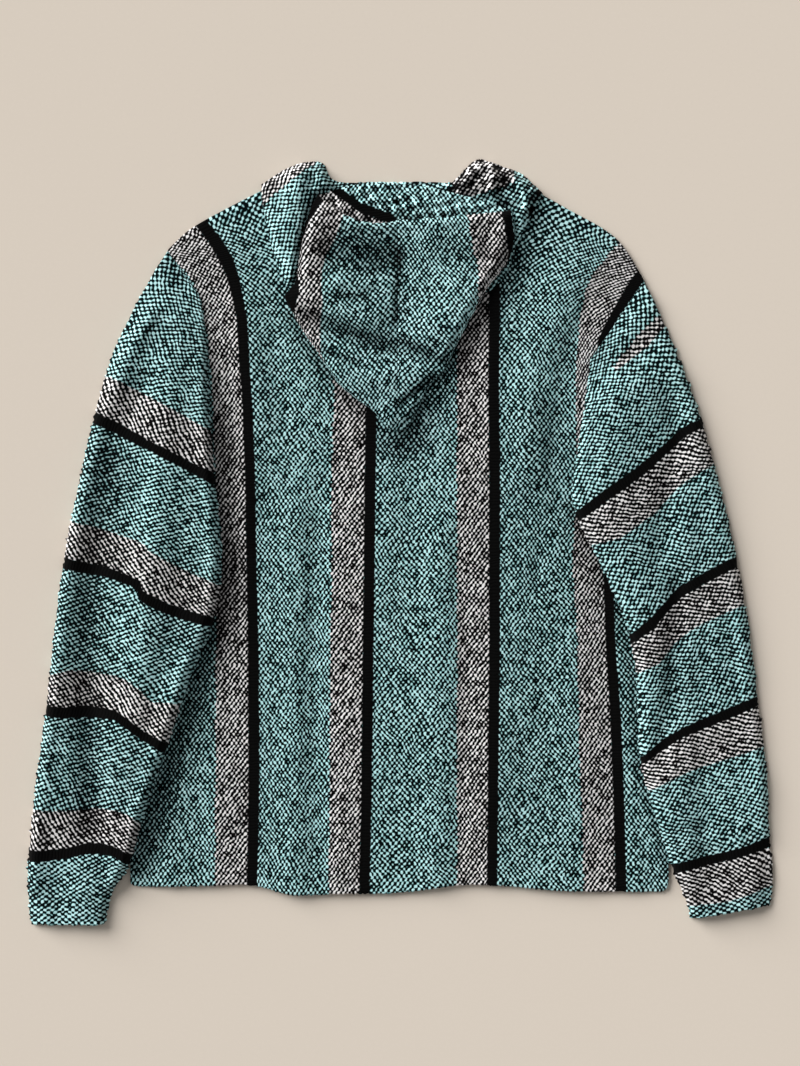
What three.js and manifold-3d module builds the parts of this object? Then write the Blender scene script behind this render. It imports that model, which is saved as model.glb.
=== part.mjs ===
// A baja hoodie of thick woven cloth, laid flat on its front, with the hood folded down over the back
// and the sleeves brought down along the sides.
//
// Millimetres. X runs across the garment, +Y from the hem to the hood, +Z up from the surface it lies on.
// Left and right are those of the laid garment: left is -X.

import * as THREE from 'three';
import Module from 'manifold-3d';

// ---- driving dimensions ----

const CLOTH = 2.0; // thickness of the woven cloth
const AIR = 0.3; // air left between two cloths that touch
const STACK = 2 * CLOTH + AIR; // front and back panel, one on the other
const LIFT = STACK + AIR; // height at which a cloth lies on the body
const SLACK = 0.4; // more air inside a sleeve or the hood, where the cloth isn't pressed flat

const HEM_Y = -365; // the hem, from the origin
const CENTRE_X = -2.6; // the hood's centre seam
const TIP_Y = 116.5; // the lowest point of the hood's crown
const LIP_Y = 335; // the hood's front edge at its centre seam
const NAPE_Y = 374.5; // the fold at the nape, at the centre seam
const COLLAR_Y = 253; // the hidden lower edge of the hood, under the crown

const BACK_NECK_Y = 318; // depth of the neckline's curve on the back
const FRONT_NECK_Y = 258; // and on the front, which is cut deeper
const ARMHOLE = 0.84; // share of a panel's rows that lie below the top of the armhole
const SHOULDER = 0.22; // share of a panel's columns that lie under each shoulder

const ROLL_HEIGHT = 6.0; // how far the hood's side rolls stand up
const CROWN_PUFF = 2.9; // how far the crown stands off the cloth under it
const HALF_AIR = AIR / 2; // each half of the hood stops this far from the seam

const COLOURS = {
  body: '#5e7c7c',
  sleeve: '#5a7777',
  hood: '#658282',
};

// ---- tables: a row for each section or fold ----

function table(columns, ...rows) {
  return rows.map((row) => Object.fromEntries(columns.map((name, i) => [name, row[i]])));
}

// The hem's edge, which swings out where a soft fold of the body ends in it.
const HEM = table(['x', 'y'],
  [-283, -352], [-276, -360], [-216, -360], [-158, -359], [-114, -369], [-58, -368],
  [-1, -367], [62, -359], [110, -360], [173, -365], [251, -366], [276, -365], [281, -355]);

// The sides from the hem to the top of the armhole. From the armpit up they lie under the sleeves.
const SIDE_LEFT = table(['x', 'y'],
  [-283, -352], [-283, -166], [-283, -20], [-281, 60], [-274, 130], [-258, 185], [-236, 228], [-209, 254]);
const SIDE_RIGHT = table(['x', 'y'],
  [281, -355], [281, -166], [281, -30], [278, 30], [267, 85], [246, 132], [224, 164], [199, 191]);

// The shoulder's edge from the top of the sleeve to the neck.
const SHOULDER_LEFT = table(['x', 'y'], [-244, 305], [-220, 327], [-183, 348], [-140, 370]);
const SHOULDER_RIGHT = table(['x', 'y'], [256, 272], [226, 317], [175, 348], [141, 367]);

// The sleeves from armhole to cuff: the outer fold and the inner fold at each section.
const SLEEVE_COLUMNS = ['outerX', 'outerY', 'innerX', 'innerY'];
const SLEEVE_LEFT = table(SLEEVE_COLUMNS,
  [-244, 305, -209, 254],
  [-274, 255, -202, 199],
  [-303, 193, -199, 133],
  [-322, 127, -194, 65],
  [-339, 54, -187, -9],
  [-354, -25, -193, -74],
  [-364, -103, -221, -145],
  [-372, -177, -246, -221],
  [-382, -250, -270, -292],
  [-390, -328, -285, -341],
  [-391, -361, -302, -368],
  [-388, -400, -309, -400]);
const SLEEVE_RIGHT = table(SLEEVE_COLUMNS,
  [256, 272, 199, 191],
  [281, 219, 193, 143],
  [302, 167, 186, 96],
  [319, 117, 181, 38],
  [338, 46, 212, -30],
  [354, -25, 239, -96],
  [366, -95, 248, -161],
  [375, -167, 251, -229],
  [384, -240, 268, -290],
  [387, -308, 283, -339],
  [391, -350, 295, -366],
  [388, -380, 305, -394]);

// The crown's folded edge on each side, from its tip up to the corner of the hood's front edge.
const CROWN_LEFT = table(['x', 'y'],
  [-12, 118], [-50, 154], [-73, 177], [-97, 215], [-115, 250], [-112, 287], [-104, 317], [-87, 362]);
const CROWN_RIGHT = table(['x', 'y'],
  [8, 119], [33, 161], [58, 191], [65, 211], [80, 243], [104, 276], [119, 318], [117, 346]);

// How far the front edge of the hood sags below a straight line from corner to centre.
const LIP_SAG = { left: -14, right: -2 };

// The hood's lower edge round the neck, then the fold at its top, both from the centre seam outward.
const NECK_COLUMNS = ['lowX', 'lowY', 'topX', 'topY'];
const COLLAR_LEFT = table(NECK_COLUMNS,
  [CENTRE_X, COLLAR_Y, CENTRE_X, 376],
  [-42, COLLAR_Y, -40, 376],
  [-84, 254, -70, 378],
  [-112, 260, -82, 396],
  [-125, 282, -100, 397],
  [-134, 306, -114, 393],
  [-141, 336, -129, 385],
  [-145, 358, -145, 374]);
const COLLAR_RIGHT = table(NECK_COLUMNS,
  [CENTRE_X, COLLAR_Y, CENTRE_X, 376],
  [40, COLLAR_Y, 32, 376],
  [80, 256, 55, 377],
  [104, 272, 70, 392],
  [115, 292, 84, 400],
  [122, 312, 106, 393],
  [134, 336, 128, 384],
  [148, 361, 148, 365]);

// Soft folds of the cloth, each a ridge from one end to the other.
const FOLD_COLUMNS = ['x0', 'y0', 'x1', 'y1', 'width', 'height'];
const BACK_FOLDS = table(FOLD_COLUMNS,
  [-108, -420, -112, 30, 17, 2.6],
  [-62, -400, -50, -160, 20, 1.6],
  [34, -420, 44, 20, 19, 2.4],
  [96, -420, 104, -190, 18, 1.4],
  [168, 20, 128, 150, 15, 2.0],
  [190, -420, 178, -120, 18, 1.8],
  [-200, -420, -190, -260, 18, 1.5]);
const CROWN_FOLDS = table(FOLD_COLUMNS,
  [-58, 300, -20, 262, 12, -1.4],
  [-74, 226, -10, 200, 11, -1.8],
  [60, 300, 26, 240, 18, 1.0],
  [18, 176, -30, 168, 12, 1.2]);
const ROLL_FOLDS = table(FOLD_COLUMNS,
  [66, 372, 84, 400, 5, -2.2],
  [86, 366, 102, 396, 5, -2.0],
  [108, 352, 124, 388, 5, -1.8],
  [-92, 372, -104, 398, 6, -1.4]);

// Soft folds of the sleeves: s runs from armhole 0 to cuff 1, q from the outer fold 0 to the inner 1.
const SLEEVE_FOLD_COLUMNS = ['s0', 'q0', 's1', 'q1', 'width', 'height'];
const SLEEVE_FOLDS_LEFT = table(SLEEVE_FOLD_COLUMNS,
  [0.12, 0.62, 0.45, 0.58, 0.17, 2.4],
  [0.57, 0.6, 0.95, 0.68, 0.18, 2.2],
  [0.16, 0.14, 0.9, 0.16, 0.13, 1.9]);
const SLEEVE_FOLDS_RIGHT = table(SLEEVE_FOLD_COLUMNS,
  [0.14, 0.6, 0.38, 0.72, 0.17, 2.4],
  [0.42, 0.22, 0.95, 0.3, 0.2, 2.2],
  [0.5, 0.85, 0.95, 0.8, 0.12, 1.7]);

// ---- small tools ----

const lerp = THREE.MathUtils.lerp;

function smooth(t) {
  return THREE.MathUtils.smoothstep(t, 0, 1);
}

function splineOf(rows, x = 'x', y = 'y') {
  return new THREE.SplineCurve(rows.map((row) => new THREE.Vector2(row[x], row[y])));
}

// A closed outline that tells how far a point lies outside it; inside, the distance is negative.
class Outline {
  constructor(points) {
    this.points = points;
  }

  outside(p) {
    let nearest = Infinity;
    let within = false;
    this.points.forEach((a, i) => {
      const b = this.points[(i + 1) % this.points.length];
      nearest = Math.min(nearest, distanceToSegment(p, a, b));
      const crosses = a.y > p.y !== b.y > p.y;
      if (crosses && p.x < a.x + ((p.y - a.y) * (b.x - a.x)) / (b.y - a.y)) {
        within = !within;
      }
    });
    return within ? -nearest : nearest;
  }
}

function distanceToSegment(p, a, b) {
  const run = new THREE.Vector2().subVectors(b, a);
  const share = THREE.MathUtils.clamp(new THREE.Vector2().subVectors(p, a).dot(run) / run.lengthSq(), 0, 1);
  return p.distanceTo(run.multiplyScalar(share).add(a));
}

// The height that a table of folds gives at a point of the cloth.
function foldHeight(folds, p) {
  return folds.reduce((sum, fold) => {
    const a = new THREE.Vector2(fold.x0, fold.y0);
    const b = new THREE.Vector2(fold.x1, fold.y1);
    return sum + fold.height * Math.exp(-((distanceToSegment(p, a, b) / fold.width) ** 2));
  }, 0);
}

function sleeveFoldHeight(folds, s, q) {
  return folds.reduce((sum, fold) => {
    const share = THREE.MathUtils.clamp((s - fold.s0) / (fold.s1 - fold.s0), 0, 1);
    const aside = (q - lerp(fold.q0, fold.q1, share)) / fold.width;
    const beyond = (s - lerp(fold.s0, fold.s1, share)) / 0.06;
    return sum + fold.height * Math.exp(-(aside ** 2) - beyond ** 2);
  }, 0);
}

function steps(count) {
  return Array.from({ length: count + 1 }, (_, i) => i / count);
}

// ---- closed solids from grids of points ----

function solidFrom(points, faces) {
  const geometry = new THREE.BufferGeometry().setFromPoints(points);
  geometry.setIndex(faces.flat());
  return facingOut(geometry);
}

// Turns every face over if the solid's faces look inward.
function facingOut(geometry) {
  const at = geometry.attributes.position;
  const index = geometry.index.array;
  const corner = (i) => new THREE.Vector3().fromBufferAttribute(at, index[i]);
  let volume = 0;
  for (let i = 0; i < index.length; i += 3) {
    volume += corner(i).dot(corner(i + 1).cross(corner(i + 2)));
  }
  if (volume < 0) {
    for (let i = 0; i < index.length; i += 3) {
      [index[i], index[i + 1]] = [index[i + 1], index[i]];
    }
  }
  return geometry;
}

function quad(a, b, c, d) {
  return [a, b, c, a, c, d];
}

// A sheet of cloth: one grid of points for each of its faces, closed all round the edge.
function sheet(face, back) {
  const rows = face.length;
  const columns = face[0].length;
  const points = [...face.flat(), ...back.flat()];
  const front = (i, j) => i * columns + j;
  const rear = (i, j) => rows * columns + front(i, j);
  const faces = [];
  for (let i = 0; i + 1 < rows; i++) {
    for (let j = 0; j + 1 < columns; j++) {
      faces.push(quad(front(i, j), front(i, j + 1), front(i + 1, j + 1), front(i + 1, j)));
      faces.push(quad(rear(i, j), rear(i + 1, j), rear(i + 1, j + 1), rear(i, j + 1)));
    }
  }
  const edge = [];
  for (let j = 0; j < columns; j++) edge.push([0, j]);
  for (let i = 1; i < rows; i++) edge.push([i, columns - 1]);
  for (let j = columns - 2; j >= 0; j--) edge.push([rows - 1, j]);
  for (let i = rows - 2; i > 0; i--) edge.push([i, 0]);
  edge.forEach((a, n) => {
    const b = edge[(n + 1) % edge.length];
    faces.push(quad(front(...a), rear(...a), rear(...b), front(...b)));
  });
  return solidFrom(points, faces);
}

// A tube of cloth, open at both ends: a closed ring of points for the outside and one for the inside
// at each section.
function tube(outside, inside) {
  const count = outside.length;
  const around = outside[0].length;
  const points = [...outside.flat(), ...inside.flat()];
  const outer = (i, j) => i * around + (j % around);
  const inner = (i, j) => count * around + outer(i, j);
  const faces = [];
  for (let j = 0; j < around; j++) {
    for (let i = 0; i + 1 < count; i++) {
      faces.push(quad(outer(i, j), outer(i, j + 1), outer(i + 1, j + 1), outer(i + 1, j)));
      faces.push(quad(inner(i, j), inner(i + 1, j), inner(i + 1, j + 1), inner(i, j + 1)));
    }
    faces.push(quad(outer(0, j), inner(0, j), inner(0, j + 1), outer(0, j + 1)));
    faces.push(quad(outer(count - 1, j), outer(count - 1, j + 1), inner(count - 1, j + 1), inner(count - 1, j)));
  }
  return solidFrom(points, faces);
}

// ---- body panels ----

// The step from the sleeve's end to the panel's edge along the seam between them.
function seamInset(sideRows, shoulderRows, inward) {
  const seam = new THREE.Vector2().subVectors(splineOf(shoulderRows).getPoint(0), splineOf(sideRows).getPoint(1));
  return new THREE.Vector2(-seam.y, seam.x).setLength(AIR * inward);
}

const INSET_LEFT = seamInset(SIDE_LEFT, SHOULDER_LEFT, -1);
const INSET_RIGHT = seamInset(SIDE_RIGHT, SHOULDER_RIGHT, 1);

// One side of a panel: from the hem to the armhole, then along the seam with the sleeve to the shoulder.
function sideOf(rows, tip, inset) {
  const side = splineOf(rows);
  const corner = side.getPoint(1).add(inset);
  return (v) => {
    if (v <= ARMHOLE) {
      return side.getPointAt(v / ARMHOLE).addScaledVector(inset, v / ARMHOLE);
    }
    return new THREE.Vector2().lerpVectors(corner, tip, (v - ARMHOLE) / (1 - ARMHOLE));
  };
}

// A shoulder's edge, which starts clear of the sleeve.
function shoulderOf(rows, inset) {
  const points = rows.map((row) => new THREE.Vector2(row.x, row.y));
  points[0].add(inset);
  return new THREE.SplineCurve(points);
}

// The top of a panel: up one shoulder, round the neckline and down the other shoulder.
function topOf(neckY) {
  const left = shoulderOf(SHOULDER_LEFT, INSET_LEFT);
  const right = shoulderOf(SHOULDER_RIGHT, INSET_RIGHT);
  const start = left.getPoint(1);
  const end = right.getPoint(1);
  const neckHalf = (end.x - start.x) / 2;
  const neck = new THREE.CubicBezierCurve(
    start,
    new THREE.Vector2(start.x + 0.25 * neckHalf, neckY),
    new THREE.Vector2(end.x - 0.25 * neckHalf, neckY),
    end,
  );
  return (u) => {
    if (u <= SHOULDER) return left.getPointAt(u / SHOULDER);
    if (u >= 1 - SHOULDER) return right.getPointAt((1 - u) / SHOULDER);
    return neck.getPointAt((u - SHOULDER) / (1 - 2 * SHOULDER));
  };
}

// A panel's points, spread between its four edges.
function panelPoint(edges, u, v) {
  const { hem, top, left, right } = edges;
  const blend = (a, b, t) => new THREE.Vector2().lerpVectors(a, b, t);
  const upright = blend(hem(u), top(u), v);
  const across = blend(left(v), right(v), u);
  const corners = blend(blend(hem(0), hem(1), u), blend(top(0), top(1), u), v);
  return upright.add(across).sub(corners);
}

function panelEdges(neckY) {
  const hemCurve = splineOf(HEM);
  const top = topOf(neckY);
  return {
    hem: (u) => hemCurve.getPointAt(u),
    top,
    left: sideOf(SIDE_LEFT, top(0), INSET_LEFT),
    right: sideOf(SIDE_RIGHT, top(1), INSET_RIGHT),
  };
}

// The rows of a panel, with one at the top of the armhole, and its columns.
const PANEL_ROWS = [
  ...steps(20).map((t) => t * ARMHOLE),
  ...steps(4).slice(1).map((t) => lerp(ARMHOLE, 1, t)),
];
const PANEL_COLUMNS = steps(32);

function panelOutline(edges) {
  return [
    ...PANEL_COLUMNS.slice(1).map((u) => edges.hem(u)),
    ...PANEL_ROWS.slice(1).map((v) => edges.right(v)),
    ...PANEL_COLUMNS.slice(1).map((u) => edges.top(1 - u)),
    ...[...PANEL_ROWS].reverse().slice(1).map((v) => edges.left(v)),
  ];
}

const BACK_EDGES = panelEdges(BACK_NECK_Y);
const BACK_OUTLINE = new Outline(panelOutline(BACK_EDGES));

function frontPanel() {
  const shape = new THREE.Shape(panelOutline(panelEdges(FRONT_NECK_Y)));
  return new THREE.ExtrudeGeometry(shape, { depth: CLOTH, bevelEnabled: false });
}

// The back lies on the front; its soft folds stand up from it and run out through the hem.
function backPanel() {
  const levels = (z) => PANEL_ROWS.map((v) => PANEL_COLUMNS.map((u) => {
    const p = panelPoint(BACK_EDGES, u, v);
    return new THREE.Vector3(p.x, p.y, z + backRise(p));
  }));
  return sheet(levels(STACK), levels(STACK - CLOTH));
}

// The folds of the back die out before the sides and under the sleeves and the hood, which hold it down.
function backRise(p) {
  const aboveHem = new THREE.Vector2(p.x, Math.max(p.y, HEM_Y + 60));
  const fromSides = smooth((-BACK_OUTLINE.outside(aboveHem) - 12) / 30);
  const fromSleeves = Math.min(...SLEEVE_OUTLINES.map((sleeve) => smooth((sleeve.outside(p) - 14) / 26)));
  const fromHood = 1 - smooth((p.y - 40) / 50) * (1 - smooth((Math.abs(p.x) - 150) / 30));
  return foldHeight(BACK_FOLDS, p) * fromSides * fromSleeves * fromHood;
}

// ---- sleeves ----

const SLEEVE_OUTLINES = [SLEEVE_LEFT, SLEEVE_RIGHT].map((rows) => {
  const outer = splineOf(rows, 'outerX', 'outerY').getPoints(40);
  const inner = splineOf(rows, 'innerX', 'innerY').getPoints(40);
  return new Outline([...outer, ...inner.reverse()]);
});

// A fold's rounded edge: how far in from the fold a point lies, and its share of the full height.
const FOLD_EDGE = table(['inset', 'share'], [0, 0], [0.7, 0.7], [2.4, 1]);

function sleeve(rows, folds) {
  const outer = splineOf(rows, 'outerX', 'outerY');
  const inner = splineOf(rows, 'innerX', 'innerY');
  const nearArmhole = steps(5).map((t) => (t * 1.5) / (rows.length - 1));
  const toCuff = steps(24).slice(1).map((t) => lerp(nearArmhole.at(-1), 1, t));
  const sections = [...nearArmhole, ...toCuff].map((s) => sleeveSection(outer, inner, folds, s));
  return tube(sections.map((ring) => ring.outside), sections.map((ring) => ring.inside));
}

function sleeveSection(outer, inner, folds, s) {
  const start = outer.getPoint(s);
  const end = inner.getPoint(s);
  const width = start.distanceTo(end);
  const across = new THREE.Vector2().subVectors(end, start).normalize();
  const along = s * outer.getLength();
  const fromStart = FOLD_EDGE.map((row) => ({ at: row.inset, share: row.share, turn: 1 }));
  const edge = FOLD_EDGE.at(-1).inset;
  const middle = steps(11).slice(1, -1).map((t) => ({ at: lerp(edge, width - edge, t), share: 1, turn: 0 }));
  const toEnd = FOLD_EDGE.map((row) => ({ at: width - row.inset, share: row.share, turn: -1 })).reverse();
  const columns = [...fromStart, ...middle, ...toEnd];
  const point = (column, inset, side, half) => {
    const at = column.at + column.turn * inset * (1 - column.share);
    const p = start.clone().addScaledVector(across, at);
    const q = at / width;
    const base = sleeveBase(p, q, along);
    const puff = side > 0 ? (SLACK + sleeveFoldHeight(folds, s, q) * endFade(s)) * column.share : 0;
    return new THREE.Vector3(p.x, p.y, base + STACK / 2 + side * half * column.share + puff);
  };
  const ring = (inset, half) => [
    ...columns.map((column) => point(column, inset, 1, half)),
    ...columns.slice(1, -1).reverse().map((column) => point(column, inset, -1, half)),
  ];
  return { outside: ring(0, STACK / 2), inside: ring(CLOTH, AIR / 2) };
}

// The folds flatten towards the seam at the armhole.
function endFade(s) {
  return smooth(s / 0.14);
}

// Height of a sleeve's underside: on the surface beside the body, up on the body where it crosses it.
// At the armhole it starts level with the panels, and rises over them at the inner end of the seam.
function sleeveBase(p, q, along) {
  const away = smooth(along / 40);
  const outside = BACK_OUTLINE.outside(p);
  const over = 1 - smooth((outside - lerp(0.8, 16, away)) / lerp(9, 24, away));
  const level = lerp(smooth((q - 0.5) / 0.35), 1, smooth(along / 14));
  return LIFT * over * level;
}

// ---- hood ----

const CROWN_COLUMNS = 10;
const CROWN_ROWS = 18;

// One half of the hood. Its cloth comes up from the neck, folds at the nape, runs down inside to the tip
// and comes back up as the crown, so the crown and the cloth under it are one folded sheet.
function hoodHalf(wasm, parts) {
  const crown = solidOf(wasm, crownSheet(parts));
  const collar = solidOf(wasm, collarSheet(parts));
  return geometryOf(crown.add(collar));
}

// The seam's side of the half, the crown's folded edge and the mouth between them, at a share t of the
// way from tip to mouth and c from the seam to the folded edge.
function crownPoint(parts, t, c, topY, bow) {
  const seam = new THREE.Vector2(parts.seamX, lerp(TIP_Y, topY, t));
  const edge = parts.edge.getPointAt(t);
  const p = new THREE.Vector2().lerpVectors(seam, edge, c);
  p.y += bow * t ** 3 * 4 * c * (1 - c);
  return p;
}

// Height of the underside of the hood's folded sheet: on the collar above, on the back below it.
function napeBase(p) {
  const onCollar = smooth((p.y - (COLLAR_Y - 60)) / 42);
  return LIFT + (CLOTH + AIR) * onCollar;
}

function crownSheet(parts) {
  const rows = steps(CROWN_ROWS);
  const across = steps(CROWN_COLUMNS).map((c) => c * 0.97);
  const edge = parts.edge.getPointAt(0.5).x - parts.seamX;
  const inward = Math.sign(edge) * -CLOTH;
  const face = [];
  const back = [];
  for (const t of rows) {
    const upper = across.map((c) => crownPoint(parts, t, c, LIP_Y, parts.lipSag));
    const lower = across.map((c) => crownPoint(parts, t, c, NAPE_Y, parts.napeBow)).reverse();
    const fold = parts.edge.getPointAt(t);
    const sink = (CLOTH + AIR - 0.4) * smooth((t - 0.93) / 0.07);
    const nape = (p) => napeBase(p) - sink;
    const crown = (p) => napeBase(p) + CLOTH + SLACK + crownPuff(parts, p);
    const turn = (napeBase(fold) + nape(fold)) / 2 + CLOTH + AIR / 2;
    face.push([
      ...upper.map((p) => new THREE.Vector3(p.x, p.y, crown(p) + CLOTH)),
      new THREE.Vector3(fold.x, fold.y, turn),
      ...lower.map((p) => new THREE.Vector3(p.x, p.y, nape(p))),
    ]);
    back.push([
      ...upper.map((p) => new THREE.Vector3(p.x, p.y, crown(p))),
      new THREE.Vector3(fold.x + inward, fold.y, turn),
      ...lower.map((p) => new THREE.Vector3(p.x, p.y, nape(p) + CLOTH)),
    ]);
  }
  return sheet(face, back);
}

// The crown stands off the cloth under it, more in its middle than along its folded edge.
function crownPuff(parts, p) {
  const inside = -parts.outline.outside(p);
  const shape = smooth((inside + 2) / 26);
  return shape * Math.max(0, CROWN_PUFF - 1.2 + foldHeight(CROWN_FOLDS, p));
}

// The cloth between the neck and the nape's fold. Beside the crown it shows, as a roll round the neck.
function collarSheet(parts) {
  const low = splineOf(parts.collar, 'lowX', 'lowY');
  const top = splineOf(parts.collar, 'topX', 'topY');
  const columns = steps(16);
  const rows = [0, 0.06, 0.14, 0.26, 0.4, 0.54, 0.67, 0.78, 0.87, 0.94, 1];
  const grid = (thick) => rows.map((b) => columns.map((a) => {
    const from = low.getPoint(a);
    const to = top.getPoint(a);
    const p = new THREE.Vector2().lerpVectors(from, to, b);
    if (a === 0) p.x = parts.seamX;
    return new THREE.Vector3(p.x, p.y, collarBase(parts, p, from, to) + thick);
  }));
  return sheet(grid(CLOTH), grid(0));
}

function collarBase(parts, p, from, to) {
  const toTop = p.distanceTo(to);
  const toLow = p.distanceTo(from);
  const roll = smooth((parts.outline.outside(p) - 1) / 16) * smooth(toLow / 16) * smooth(toTop / 9);
  const drop = smooth(1 - toTop / 16) * smooth((BACK_OUTLINE.outside(p) - 2) / 10);
  return LIFT - (LIFT - AIR) * drop + (ROLL_HEIGHT + foldHeight(ROLL_FOLDS, p)) * roll;
}

function solidOf(wasm, geometry) {
  return new wasm.Manifold(new wasm.Mesh({
    numProp: 3,
    vertProperties: new Float32Array(geometry.attributes.position.array),
    triVerts: new Uint32Array(geometry.index.array),
  }));
}

function geometryOf(solid) {
  const mesh = solid.getMesh();
  const geometry = new THREE.BufferGeometry();
  geometry.setAttribute('position', new THREE.BufferAttribute(new Float32Array(mesh.vertProperties), 3));
  geometry.setIndex(new THREE.BufferAttribute(new Uint32Array(mesh.triVerts), 1));
  return geometry;
}

function hoodParts(edgeRows, collar, side, lipSag, napeBow) {
  const parts = {
    edge: splineOf(edgeRows),
    collar,
    seamX: CENTRE_X + side * HALF_AIR,
    lipSag,
    napeBow,
  };
  parts.outline = new Outline([
    ...steps(40).map((t) => parts.edge.getPointAt(t)),
    ...steps(12).slice(1).map((t) => crownPoint(parts, 1, 1 - t, NAPE_Y, napeBow)),
  ]);
  return parts;
}

// ---- the garment ----

function piece(name, geometry, colour) {
  const material = new THREE.MeshStandardMaterial({ color: colour, roughness: 0.95, metalness: 0 });
  const mesh = new THREE.Mesh(geometry, material);
  mesh.name = name;
  return mesh;
}

const wasm = await Module();
wasm.setup();

const leftHood = hoodParts(CROWN_LEFT, COLLAR_LEFT, -1, LIP_SAG.left, 5);
const rightHood = hoodParts(CROWN_RIGHT, COLLAR_RIGHT, 1, LIP_SAG.right, 4);

const hoodie = new THREE.Group();
hoodie.add(
  piece('front_panel', frontPanel(), COLOURS.body),
  piece('back_panel', backPanel(), COLOURS.body),
  piece('sleeve_left', sleeve(SLEEVE_LEFT, SLEEVE_FOLDS_LEFT), COLOURS.sleeve),
  piece('sleeve_right', sleeve(SLEEVE_RIGHT, SLEEVE_FOLDS_RIGHT), COLOURS.sleeve),
  piece('hood_left', hoodHalf(wasm, leftHood), COLOURS.hood),
  piece('hood_right', hoodHalf(wasm, rightHood), COLOURS.hood),
);

export default hoodie;
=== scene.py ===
"""A baja hoodie of thick woven cloth, laid flat on its front: the dressed part.

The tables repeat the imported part's own outlines and folds, in millimetres: X across the garment,
+Y from the hem to the hood, +Z up from the surface that it lies on. Left is -X.
"""

import functools
import math

import bpy
import numpy as np
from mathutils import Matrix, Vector


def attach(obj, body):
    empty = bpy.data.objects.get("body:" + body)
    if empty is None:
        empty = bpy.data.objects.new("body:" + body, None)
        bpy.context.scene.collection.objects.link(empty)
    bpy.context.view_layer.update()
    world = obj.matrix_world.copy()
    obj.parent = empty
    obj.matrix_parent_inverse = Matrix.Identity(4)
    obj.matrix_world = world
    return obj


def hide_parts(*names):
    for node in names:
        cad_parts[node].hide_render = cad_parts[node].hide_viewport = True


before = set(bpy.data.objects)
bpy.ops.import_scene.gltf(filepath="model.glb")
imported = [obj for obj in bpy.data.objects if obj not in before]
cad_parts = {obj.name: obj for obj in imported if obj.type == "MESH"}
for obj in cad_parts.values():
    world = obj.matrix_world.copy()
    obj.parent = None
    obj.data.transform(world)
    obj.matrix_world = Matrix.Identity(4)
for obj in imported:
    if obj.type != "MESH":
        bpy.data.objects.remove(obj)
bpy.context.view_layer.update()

bl_info = {
    "name": "Baja hoodie, laid flat",
    "version": (1, 0, 0),
    "blender": (4, 5, 0),
    "location": "3D Viewport > Sidebar > Hoodie",
    "description": "Makes the panels, sleeves and hood of a striped baja hoodie, and its stage",
    "category": "Object",
}

# ---- the garment's own sizes, in millimetres ----

CLOTH = 2.0  # thickness of the woven cloth
AIR = 0.3  # air left between two cloths that touch
STACK = 2 * CLOTH + AIR  # the height of two cloths that lie on each other
LIFT = STACK + AIR  # the height at which cloth lies on the body
SLACK = 0.4  # the air in a sleeve and under the crown where they are flattest
TURN = 3.4  # how far in from a sleeve's folded edge its cloth has turned flat
SET_IN = 0.14  # the share of a sleeve along which it fills out from the armhole

HEM_Y = -365
CENTRE_X = -2.6
TIP_Y = 116.5  # the crown's tip
LIP_Y = 335  # the hood's mouth, on the crown
NAPE_Y = 374.5  # the top of the nape behind it
COLLAR_Y = 253  # the hood's lower edge at the centre
BACK_NECK_Y = 318  # what the necklines are drawn down towards
FRONT_NECK_Y = 258
ARMHOLE = 0.84  # the share of a panel's height at which its armhole's seam starts
SHOULDER = 0.22  # the share of a panel's top that each shoulder takes
ROLL_HEIGHT = 6.0
ROLL_RISE = 3.0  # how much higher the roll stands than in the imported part
CROWN_PUFF = 2.9
CROWN_RISE = 3.6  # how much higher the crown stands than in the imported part
CROWN_LIMIT = 11.0  # what the loft of the crown stays under
SLEEVE_LOFT = (6.0, 8.0)  # at a sleeve's outer and inner fold
SLEEVE_LIMIT = 15.0
THIN_EDGE = (0.4, 0.45)  # what a panel loses of its thickness at its edge, above and below
FADES = {"sides": (12, 30), "sleeves": (8, 26), "hood": (5, 34)}  # the back's folds: from where, over what
SEAM = 0.08  # what shows between two edges that are sewn together

HEM = [
    (-283, -352), (-276, -360), (-216, -360), (-158, -359), (-114, -369), (-58, -368), (-1, -367),
    (62, -359), (110, -360), (173, -365), (251, -366), (276, -365), (281, -355),
]
SIDE_LEFT = [
    (-283, -352), (-283, -166), (-283, -20), (-281, 60), (-274, 130), (-258, 185), (-236, 228), (-209, 254),
]
SIDE_RIGHT = [(281, -355), (281, -166), (281, -30), (278, 30), (267, 85), (246, 132), (224, 164), (199, 191)]
SHOULDER_LEFT = [(-244, 305), (-220, 327), (-183, 348), (-140, 370)]
SHOULDER_RIGHT = [(256, 272), (226, 317), (175, 348), (141, 367)]

# Each section of a sleeve, from armhole to cuff: its outer fold, then its inner fold.
SLEEVE_LEFT = [
    (-244, 305, -209, 254), (-274, 255, -202, 199), (-303, 193, -199, 133), (-322, 127, -194, 65),
    (-339, 54, -187, -9), (-354, -25, -193, -74), (-364, -103, -221, -145), (-372, -177, -246, -221),
    (-382, -250, -270, -292), (-390, -328, -285, -341), (-391, -361, -302, -368), (-388, -400, -309, -400),
]
SLEEVE_RIGHT = [
    (256, 272, 199, 191), (281, 219, 193, 143), (302, 167, 186, 96), (319, 117, 181, 38),
    (338, 46, 212, -30), (354, -25, 239, -96), (366, -95, 248, -161), (375, -167, 251, -229),
    (384, -240, 268, -290), (387, -308, 283, -339), (391, -350, 295, -366), (388, -380, 305, -394),
]

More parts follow.
